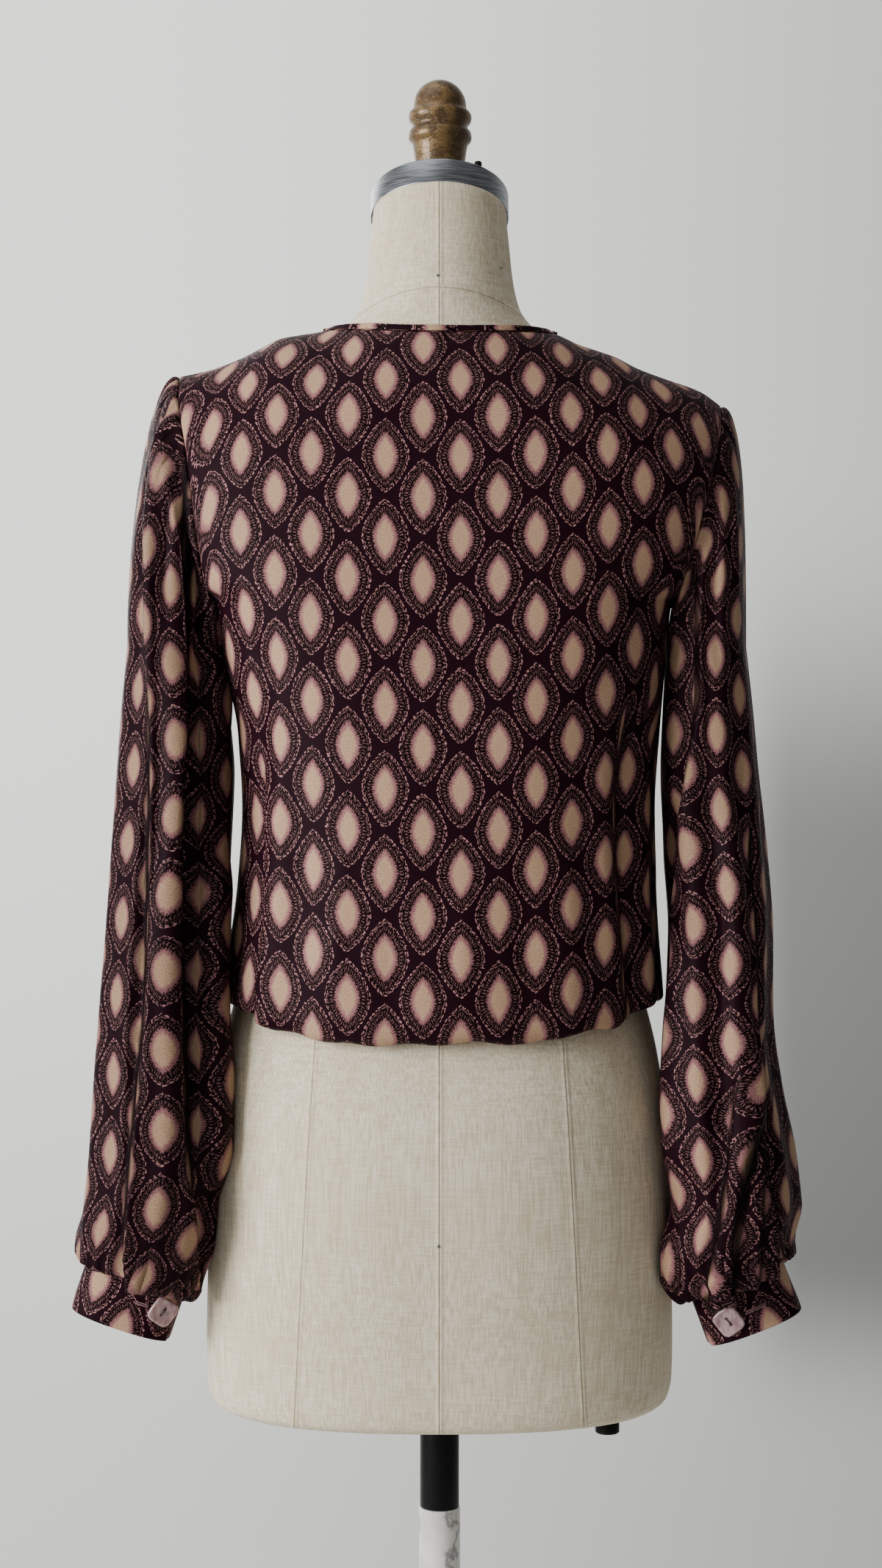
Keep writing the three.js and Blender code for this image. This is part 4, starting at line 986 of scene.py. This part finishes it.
def bevelled(radius, low, high, bevel):
    """Section of a disc or a rod with rounded rims."""
    turns = np.linspace(0, np.pi / 2, 5)
    inner = radius - bevel
    section = [(inner - bevel * 2, low), (inner - bevel * 0.5, low)]
    section += [(inner + bevel * math.sin(a), low + bevel - bevel * math.cos(a)) for a in turns]
    section += [(inner + bevel * math.cos(a), high - bevel + bevel * math.sin(a)) for a in turns]
    return section + [(inner - bevel * 0.5, high), (inner - bevel * 2, high)]


class Value:
    """Output of a shader node; arithmetic on it adds nodes."""

    def __init__(self, graph, socket):
        self.graph, self.socket = graph, socket

    def math(self, operation, *others):
        inputs = dict(enumerate((self, *others)))
        return self.graph.add("ShaderNodeMath", inputs, operation=operation)

    def __add__(self, other):
        return self.math("ADD", other)

    def __sub__(self, other):
        return self.math("SUBTRACT", other)

    def __mul__(self, other):
        return self.math("MULTIPLY", other)

    def __truediv__(self, other):
        return self.math("DIVIDE", other)

    def __pow__(self, other):
        return self.math("POWER", other)

    def __abs__(self):
        return self.math("ABSOLUTE")

    def ramp(self, low, high, bottom=0.0, top=1.0):
        """Smooth step from bottom to top between two values."""
        inputs = dict(enumerate((self, low, high, bottom, top)))
        return self.graph.add("ShaderNodeMapRange", inputs, interpolation_type="SMOOTHSTEP")

    def band(self, centre, half, soft):
        """One inside a band of values, nought outside it."""
        return abs(self - centre).ramp(half + soft, half - soft)


class Graph:
    """Adds nodes to a tree."""

    def __init__(self, tree):
        self.tree = tree

    def feed(self, socket, value):
        if isinstance(value, Value):
            self.tree.links.new(value.socket, socket)
        else:
            socket.default_value = value

    def add(self, kind, inputs, output=0, **settings):
        """New node with inputs given by name or place; returns one of its outputs."""
        made = self.tree.nodes.new(kind)
        for key, value in settings.items():
            setattr(made, key, value)
        for key, value in inputs.items():
            self.feed(made.inputs[key], value)
        return Value(self, made.outputs[output])

    def coordinates(self, kind):
        return self.add("ShaderNodeTexCoord", {}, kind)

    def split(self, vector):
        x = self.add("ShaderNodeSeparateXYZ", {0: vector})
        return [Value(self, socket) for socket in x.socket.node.outputs]

    def noise(self, vector, scale, detail=3.0, rough=0.55, output=0):
        inputs = {"Vector": vector, "Scale": scale, "Detail": detail, "Roughness": rough}
        return self.add("ShaderNodeTexNoise", inputs, output)

    def mapped(self, vector, scale=(1, 1, 1), turn=(0, 0, 0), place=(0, 0, 0)):
        inputs = {0: vector, "Location": place, "Rotation": turn, "Scale": scale}
        return self.add("ShaderNodeMapping", inputs)


class Surface(Graph):
    """Material with one shader, whose plain values are given by name."""

    def __init__(self, name, **sockets):
        self.material = bpy.data.materials.new(name)
        self.material.use_nodes = True
        super().__init__(self.material.node_tree)
        self.tree.nodes.clear()
        inputs = {key.replace("_", " "): value for key, value in sockets.items()}
        shader = self.add("ShaderNodeBsdfPrincipled", inputs)
        self.shader = shader.socket.node
        output = self.tree.nodes.new("ShaderNodeOutputMaterial")
        self.feed(output.inputs[0], shader)

    def paint(self, colour, *coats):
        """Base colour with coats over it, each a share and a colour."""
        for share, coat in coats:
            colour = self.add("ShaderNodeMix", {0: share, 6: colour, 7: coat}, 2, data_type="RGBA")
        self.feed(self.shader.inputs["Base Color"], colour)

    def bump(self, height, strength, distance):
        inputs = {"Strength": strength, "Distance": distance, "Height": height}
        self.feed(self.shader.inputs["Normal"], self.add("ShaderNodeBump", inputs))

    def roughen(self, value, share, least):
        self.feed(self.shader.inputs["Roughness"], value * share + least)


def rgb(r, g, b):
    """Linear colour from an sRGB one in 0 to 255."""
    linear = (((v / 255 + 0.055) / 1.055) ** 2.4 if v > 10 else v / 3295 for v in (r, g, b))
    return (*linear, 1)


# distance between the print's motifs in a row and between its rows, in metres
PITCH_U, PITCH_V = 0.0482, 0.0535
# half a motif's width and height in metres, and the powers that shape its outline
MOTIF_WIDTH, MOTIF_HEIGHT = 0.01545, 0.0248
MOTIF_POWERS = (1.2, 1.68)
GROUND = rgb(31, 11, 20)
RING = rgb(18, 5, 10)
CREAM = rgb(189, 154, 126)
PINK = rgb(158, 108, 111)
OUTLINE = rgb(176, 126, 126)
SPECK = rgb(112, 86, 70)
# near-black colour of the painted shade in the folds' feet and over the sleeves' backs
SHADE_COLOUR = rgb(12, 5, 8)


def print_material(name, place=(0, 0), size=1.0):
    """Half-drop lattice of pointed ogee motifs on a dark satin-faced crepe, with painted shade in
    folds and on the sleeves' backs.
    """
    n = Surface(name, Specular_IOR_Level=0.03)
    uv = n.mapped(n.coordinates("UV"), place=(*place, 0))
    cloud = n.noise(uv, 560, 1.5, 0.5, "Color")
    wobble = n.add("ShaderNodeVectorMath", {0: cloud, 1: (0.5, 0.5, 0.5)}, operation="SUBTRACT")
    inputs = {0: wobble, 1: (0.0026, 0.0026, 0), 2: uv}
    u, v, _ = n.split(n.add("ShaderNodeVectorMath", inputs, operation="MULTIPLY_ADD"))

    def motif(offset):
        """Nought at a motif's centre and one on its outline, and the place in the motif."""
        local = [
            ((value / pitch + (offset + 0.5)).math("FRACT") - 0.5) * pitch
            for value, pitch in ((u, PITCH_U * size), (v, PITCH_V * size))
        ]
        wide = abs(local[0]) / (MOTIF_WIDTH * size)
        tall = abs(local[1]) / (MOTIF_HEIGHT * size)
        total = wide ** MOTIF_POWERS[0] + tall ** MOTIF_POWERS[1]
        return total ** (1 / MOTIF_POWERS[0]), local

    first, at_first = motif(0.0)
    second, at_second = motif(0.5)
    ring = first.math("MINIMUM", second)
    nearer = first.math("LESS_THAN", second)
    across, along = (
        n.add("ShaderNodeMix", {0: nearer, 2: b, 3: a}, data_type="FLOAT")
        for a, b in zip(at_first, at_second)
    )
    turned = (along * 0.62).math("ARCTAN2", across)
    rays, links, waves = ((turned * count).math("SINE") for count in (50, 34, 27))
    waved = ring + waves * 0.012
    speck = n.noise(uv, 1500, 1.0)
    uneven = speck - 0.5
    coarse = n.noise(uv, 760, 1.0)
    broken = coarse.ramp(0.45, 0.51)

    lines = waved.band(0.966, 0.019, 0.011) * (links + speck * 2.6).ramp(0.65, 1.2)
    for other in (
        ring.band(0.925, 0.034, 0.016) * coarse.ramp(0.61, 0.65),
        waved.band(0.868, 0.016, 0.012) * broken * 0.6,
        ring.band(0.785, 0.007, 0.012) * broken * 0.22,
        ring.band(0.69, 0.055, 0.02) * (rays + uneven * 1.7).ramp(0.2, 0.6) * 0.42,
    ):
        lines = lines.math("MAXIMUM", other)
    halo = (ring + uneven * 0.3 + rays * 0.05).ramp(0.57, 0.43)
    centre = (ring + uneven * 0.18).ramp(0.395, 0.295)
    weave = n.noise(n.mapped(uv, scale=(1, 0.6, 1)), 1900, 0.0)
    # painted shade: the print darkens towards the shade colour by the shade attribute on the
    # cloth's points
    painted_shade = n.add("ShaderNodeAttribute", {}, "Fac", attribute_name="painted_shade")
    n.paint(
        RING, (ring.ramp(0.92, 0.99), GROUND), (lines, OUTLINE), (halo, PINK), (centre, CREAM),
        (weave.ramp(0.5, 0.64) * (halo * 0.45), SPECK), (painted_shade * 0.93, SHADE_COLOUR),
    )
    n.roughen(n.noise(uv, 60, 2.0), 0.12, 0.44)
    n.bump(n.noise(n.mapped(uv, scale=(1, 1.6, 1)), 2300, 2.0), 0.25, 0.0003)
    return n.material


def linen_material():
    """Linen in panels: seams down the middle, the sides and between them, and round the nape."""
    n = Surface("linen", Roughness=0.9, Sheen_Weight=0.12, Specular_IOR_Level=0.2)
    place = n.coordinates("Object")
    x, y, z = n.split(place)
    slub = n.noise(n.mapped(place, scale=(1, 1, 0.035)), 900)
    cross = n.noise(n.mapped(place, scale=(0.08, 0.08, 1)), 900, 2.0)
    streak = n.noise(n.mapped(place, scale=(1, 1, 0.05)), 120)
    patch = n.noise(place, 14, 4.0)
    threads = slub * 0.68 + cross * 0.32
    on_neck = z.ramp(1.33, 1.345)
    princess_seam = z * -0.055 + (0.0795 + 0.055 * 0.928)
    nape_seam = x * x * -4.3 + 1.417
    nearest = abs(x + 0.0002)
    for distance in (abs(abs(x) - princess_seam) + on_neck, abs(y) + on_neck, abs(z - nape_seam)):
        nearest = nearest.math("MINIMUM", distance)
    line = nearest.ramp(0.0007, 0.0002)
    swell = nearest.ramp(0.0032, 0.0008)
    n.paint(
        rgb(206, 190, 160), (threads.ramp(0.36, 0.64), rgb(240, 229, 206)),
        (streak.ramp(0.5, 0.72) * 0.35, rgb(198, 180, 148)),
        (patch.ramp(0.4, 0.7) * 0.3, rgb(212, 196, 164)), (line * 0.5, rgb(140, 122, 98)),
    )
    n.bump(threads * 0.35 + (swell - line), 0.5, 0.0007)
    return n.material


def metal_material():
    n = Surface("brushed_metal", Metallic=1.0, Anisotropic=0.5)
    place = n.mapped(n.coordinates("Object"), turn=(-CAP_TILT, 0, 0), scale=(0.04, 0.04, 1))
    streak = n.noise(place, 1500)
    n.paint(rgb(104, 108, 114), (streak.ramp(0.3, 0.7), rgb(164, 168, 174)))
    n.roughen(streak, 0.25, 0.2)
    n.bump(streak, 0.15, 0.0002)
    return n.material


def bronze_material():
    n = Surface("aged_bronze_paint", Metallic=0.35, Coat_Weight=0.2)
    place = n.coordinates("Object")
    cloud = n.noise(place, 90, 6.0)
    inputs = {"Vector": n.mapped(place, scale=(1, 1, 1.7)), "Scale": 150}
    crack = n.add("ShaderNodeTexVoronoi", inputs, "Distance", feature="DISTANCE_TO_EDGE")
    line = crack.ramp(0.05, 0.0)
    worn = n.noise(place, 210).ramp(0.6, 0.72)
    n.paint(
        rgb(88, 66, 38), (cloud.ramp(0.42, 0.62), rgb(128, 100, 60)),
        (worn * 0.5, rgb(176, 128, 110)), (line * 0.6, rgb(38, 28, 18)),
    )
    n.roughen(cloud, 0.35, 0.25)
    n.bump(cloud * 0.7 - line * 0.5, 0.5, 0.0008)
    return n.material


def black_material():
    n = Surface("black_paint", Specular_IOR_Level=0.18)
    place = n.coordinates("Object")
    n.paint(rgb(4, 4, 5), (n.noise(place, 40, 4.0).ramp(0.35, 0.7), rgb(9, 9, 10)))
    n.roughen(n.noise(place, 120), 0.2, 0.28)
    n.bump(n.noise(place, 700, 2.0), 0.08, 0.0002)
    return n.material


def marble_material():
    n = Surface("marbled_finish", Roughness=0.28, Coat_Weight=0.3)
    place = n.coordinates("Object")
    vein = abs(n.noise(place, 26, 5.0, 0.5) - 0.5).ramp(0.035, 0.0)
    cloud = n.noise(place, 18, 5.0).ramp(0.4, 0.7)
    n.paint(rgb(236, 234, 230), (cloud, rgb(205, 203, 200)), (vein * 0.75, rgb(120, 120, 124)))
    return n.material


def streaked_material(name, scale, detail, stretch, dark, light, **sockets):
    """Small piece's surface with soft streaks between two colours."""
    n = Surface(name, **sockets)
    place = n.mapped(n.coordinates("Object"), scale=(1, 1, stretch))
    n.paint(dark, (n.noise(place, scale, detail).ramp(0.35, 0.65), light))
    return n.material


CUFF_PLACE = {"left": (0.01, 0.0), "right": (0.0255, 0.0)}
SLEEVE_PLACE = {"left": (-0.005, 0.0134), "right": (0.0085, 0.0085)}
SLEEVE_PRINT_SIZE = 0.94

panels = {face: panel_surface(face) for face in ("back", "front")}
for face, place in (("back", (0.0136, -0.1566)), ("front", (0.0, 0.01))):
    piece, wide, tall = make_panel(panels[face], print_material(f"print_{face}", place))
for side in SIGN:
    cloth = print_material(f"print_{side}_sleeve", SLEEVE_PLACE[side], SLEEVE_PRINT_SIZE)
    piece, tall = make_sleeve(panels, side, cloth)
    piece, wide = make_cuff(side, print_material(f"print_{side}_cuff", CUFF_PLACE[side]))
piece, wide = make_binding(panels, print_material("print_binding"))

FINIAL = (
    (14, 26), (14.6, 30), (15, 32), (16.4, 35.5), (17.2, 39), (17.9, 43), (18.6, 48), (19.2, 51),
    (19.8, 52.6), (21.2, 53.8), (21.9, 55.4), (22, 57), (21.8, 58.8), (21.2, 60.3), (20.1, 61.4),
    (19.4, 62.4), (19.3, 63.6), (19.5, 65), (20.6, 66.2), (21.6, 67.8), (22, 70), (21.8, 71.8),
    (21, 73.3), (19.5, 74.6), (18.6, 75.8), (18.4, 78), (18.0, 81), (17.2, 84), (15.9, 86.6),
    (14.1, 89.2), (12, 91.4), (9.2, 93.4), (6, 94.9), (3.4, 95.7), (1.2, 96),
)
BASE = (
    (150, -1090), (183, -1090), (184.4, -1089.4), (185, -1088), (185, -1079), (184.4, -1077.4),
    (182.6, -1076.2), (150, -1075.7), (60, -1073.8), (24, -1073), (22, -1072), (21, -1070),
    (20.3, -1060), (20, -1047.5), (19.4, -1046), (17, -1046),
)
# the bolt's place to the left and behind the middle of the neck cap, and above its foot
BOLT = (-26, 34, CAP_THICKNESS + 0.7)


def on_cap(x, y, z):
    """Place on the tilted neck cap."""
    sine, cosine = math.sin(CAP_TILT), math.cos(CAP_TILT)
    return (x, CAP_Y + y * cosine - z * sine, CAP_Z + y * sine + z * cosine)


metal, bronze, black = metal_material(), bronze_material(), black_material()
pearl = streaked_material(
    "pearl_button", 260, 3.0, 0.4, rgb(140, 104, 110), rgb(186, 152, 152),
    Roughness=0.18, Coat_Weight=0.6, Coat_Roughness=0.08, Subsurface_Weight=0.1,
)
thread, stitch = (
    streaked_material(name, 2500, 2.0, 1, dark, light, Roughness=0.6, Sheen_Weight=0.3)
    for name, dark, light in (
        ("thread", rgb(48, 30, 38), rgb(92, 62, 70)),
        ("stitches", rgb(96, 62, 72), rgb(160, 118, 122)),
    )
)
make_torso(linen_material())
disc = bevelled(CAP_RADIUS, 0, CAP_THICKNESS, 0.9)
lathe("neck_disc", disc, 160, metal, "neck_cap", CAP_TILT, on_cap(0, 0, 0.35))
bolt = bevelled(2.5, 0, 4.9, 0.4)
lathe("bolt", bolt, 24, black, "cap_bolt", CAP_TILT, on_cap(*BOLT))
lathe("turned_finial", FINIAL, 96, bronze, "finial", 0.0, (0, CAP_Y, CAP_Z))
pole = bevelled(13.25, -490.65, -418.35, 0.5)
lathe("pole_black", pole, 64, black, "black_pole")
pole = bevelled(14, -1045.65, -491, 0.6)
lathe("pole_marbled", pole, 64, marble_material(), "marbled_pole")
knob = bevelled(8, -425, -418.35, 1.2)
lathe("knob", knob, 40, black, "form_knob", 0.0, (-110, 58, 0))
lathe("base_plate", BASE, 144, black, "stand_base")

BUTTON_RADIUS, BUTTON_POWER, BUTTON_COLUMNS = 8.75, 4.2, 64
# share of the radius and height, from the underside's middle round the rim to the top's
BUTTON_SECTION = (
    (0.4, 0), (0.88, 0), (0.95, 0.25), (0.99, 0.7), (1, 1.2), (1, 1.8), (0.985, 2.35),
    (0.95, 2.75), (0.88, 2.98), (0.8, 3), (0.72, 2.85), (0.62, 2.55), (0.4, 2.35), (0.2, 2.3),
)
# distance of the two holes from the middle, and their columns
HOLE_AT, HOLE_COLUMNS = 2.3, 20
# a strand's way from one hole to the other: share of its place aside, place along, height
STRAND = (
    (1, -2.3, 1.2), (1, -2.1, 2.3), (0.9, -1.2, 2.75), (0.8, 0, 2.85),
    (0.9, 1.2, 2.75), (1, 2.1, 2.3), (1, 2.3, 1.2),
)
STRAND_GAP, STRAND_RADIUS, STITCH_RADIUS, PIN_RADIUS = 0.34, 0.19, 0.42, 0.95
PINS = ((1.4, 328), (-41, 340), (0.9, -292))


def tube(name, path, radius, material):
    """Round strand through points, as a mesh."""
    path = np.array(path)
    along = unit(np.gradient(path, axis=0))
    aside = unit(np.cross(along, np.array([0.31, 0.22, 0.93])))
    other = np.cross(along, aside)
    rings = [path + radius * (aside * math.cos(a) + other * math.sin(a)) for a in full_turn(8)]
    points = np.stack(rings, axis=1).reshape(-1, 3)
    mesh_object(name, points, capped_faces(len(path), 8), None, material)


def make_button(side):
    """Rounded-square button with a raised rim, two holes and its thread."""
    around, above, turn = BUTTONS[side]
    angles = around + np.array([0.0, -2.0, 2.0])
    seat, before, after = cuff_point(side, angles, above, CUFF_LAP + SEAM_GAP)
    up = cuff_frame(side)[1]
    out = unit(np.cross(unit(before - after), up))
    if out[1] < 0:
        out = -out
    right = unit(np.cross(up, out))
    spin = math.radians(turn)
    x_axis = right * math.cos(spin) + up * math.sin(spin)
    y_axis = -right * math.sin(spin) + up * math.cos(spin)
    basis = np.stack((x_axis, y_axis, out))

    turns = full_turn(BUTTON_COLUMNS)
    outline = np.stack([rounded(f(turns), BUTTON_POWER) for f in (np.cos, np.sin)], axis=1)
    outline = outline * BUTTON_RADIUS
    rows = [np.column_stack((outline * r, np.full(len(turns), h))) for r, h in BUTTON_SECTION]
    faces = capped_faces(len(rows), BUTTON_COLUMNS)
    made = mesh_object(f"button_{side}", seat + np.concatenate(rows) @ basis, faces, None, pearl)

    turns = full_turn(HOLE_COLUMNS)
    points, faces = [], []
    for place in (-HOLE_AT, HOLE_AT):
        hole = capped_faces(2, HOLE_COLUMNS)
        faces += [tuple(k + len(points) for k in face) for face in hole]
        for h in (-2, 6):
            points.extend(seat + stack(np.cos(turns), place + np.sin(turns), h) @ basis)
    cutter = plain_object("cutter", points, faces)
    cut = made.modifiers.new("holes", "BOOLEAN")
    cut.object = cutter
    cut.operation = "DIFFERENCE"
    graph = bpy.context.evaluated_depsgraph_get()
    pierced = bpy.data.meshes.new_from_object(made.evaluated_get(graph))
    made.modifiers.clear()
    made.data = pierced
    bpy.data.objects.remove(cutter)
    pierced.polygons.foreach_set("use_smooth", [True] * len(pierced.polygons))
    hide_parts(f"{side}_cuff_button")
    for k in range(4):
        off = (k - 1.5) * STRAND_GAP
        path = [seat + np.array([share * off, y, z]) @ basis for share, y, z in STRAND]
        tube(f"thread_{side}_{k}", path, STRAND_RADIUS, thread)


def make_buttonhole(side):
    """Two rows of stitches beside the button, on the cuff's lap."""
    around, above, first, last, rise = BUTTONHOLES[side]
    turns = np.linspace(around + first, around + last, 12)
    heights = above + np.linspace(0.4, 1, 12) * rise
    grow = lap_growth(turns - CUFF_START + 360) + SEAM_GAP
    for k, off in enumerate((-0.65, 0.65)):
        row = cuff_point(side, turns, heights + off, grow)
        tube(f"buttonhole_{side}_{k}", row, STITCH_RADIUS, stitch)


def make_pins():
    """Heads of the three pins in the form's back."""
    for k, (x, z) in enumerate(PINS):
        power = form_power(z)
        share = 1 - (abs(x) / form_width(z)) ** power
        y = float(form_depth["back"](z) * share ** (1 / power))
        seat = np.array([x, y - 0.4, z + form_lift(y, z)])
        tube(f"pin_{k}", [seat, seat + [0, 0.5, 0], seat + [0, 1.1, 0]], PIN_RADIUS, metal)


for side in SIGN:
    make_button(side)
    make_buttonhole(side)
make_pins()

FLOOR_RADIUS = 1600
floor_turn = full_turn(128)
floor_rim = stack(FLOOR_RADIUS * np.cos(floor_turn), FLOOR_RADIUS * np.sin(floor_turn), -DATUM)
floor = plain_object("floor", floor_rim, [tuple(range(128))])
ground = Surface("pale_floor", Base_Color=rgb(206, 205, 202), Roughness=0.75)
floor.data.materials.append(ground.material)


def studio_world():
    """Pale wall before the object that darkens to one side, with a painted shadow of the form low
    on that side, and a dimmer room behind it.
    """
    world = bpy.data.worlds.new("studio")
    bpy.context.scene.world = world
    world.use_nodes = True
    n = Graph(world.node_tree)
    backdrop = world.node_tree.nodes["Background"]
    x, y, z = n.split(n.coordinates("Generated"))
    wall = x.ramp(-0.3, 0.2, 1.1, 2.4) * z.ramp(-0.34, 0.1, 0.64, 1.0)
    # painted shadow of the form on the wall, low down and to one side
    aside = x.ramp(-0.09, -0.15, 0, 0.6) * x.ramp(-0.32, -0.18, 0.55, 1)
    shadow = aside * (z.ramp(0.17, -0.03) * z.ramp(-0.29, -0.19))
    wall = wall * shadow.ramp(0, 1, 1, 0)
    room = x.ramp(-0.9, 0.9, 0.26, 0.72)
    backdrop.inputs[0].default_value = rgb(214, 214, 211)
    n.feed(backdrop.inputs[1], wall * y.ramp(-0.25, -0.8) + room * y.ramp(-0.8, -0.25))


def area_light(name, place, target, size, power):
    light = bpy.data.lights.new(name, "AREA")
    light.shape = "RECTANGLE"
    light.size, light.size_y = size
    light.energy = power
    lamp = bpy.data.objects.new(name, light)
    lamp.location = place
    lamp.rotation_euler = (Vector(target) - Vector(place)).to_track_quat("-Z", "Y").to_euler()
    bpy.context.scene.collection.objects.link(lamp)


studio_world()
area_light("key", (2.25, 1.3, 1.55), (0, 0, 1.05), (1.5, 1.5), 108)
area_light("top", (0.5, 0.3, 3.0), (0, 0, 1.2), (1.4, 1.4), 9)
area_light("front", (1.2, -2.3, 1.9), (0, 0, 1.1), (1.5, 1.5), 30)

camera_data = bpy.data.cameras.new("camera")
camera_data.sensor_fit = "VERTICAL"
camera_data.sensor_height = 24
camera_data.lens = 36
camera = bpy.data.objects.new("camera", camera_data)
camera.location = (-0.001, 1.6, DATUM * MM)
camera.rotation_euler = (math.pi / 2, 0, math.pi)
bpy.context.scene.collection.objects.link(camera)
bpy.context.scene.camera = camera
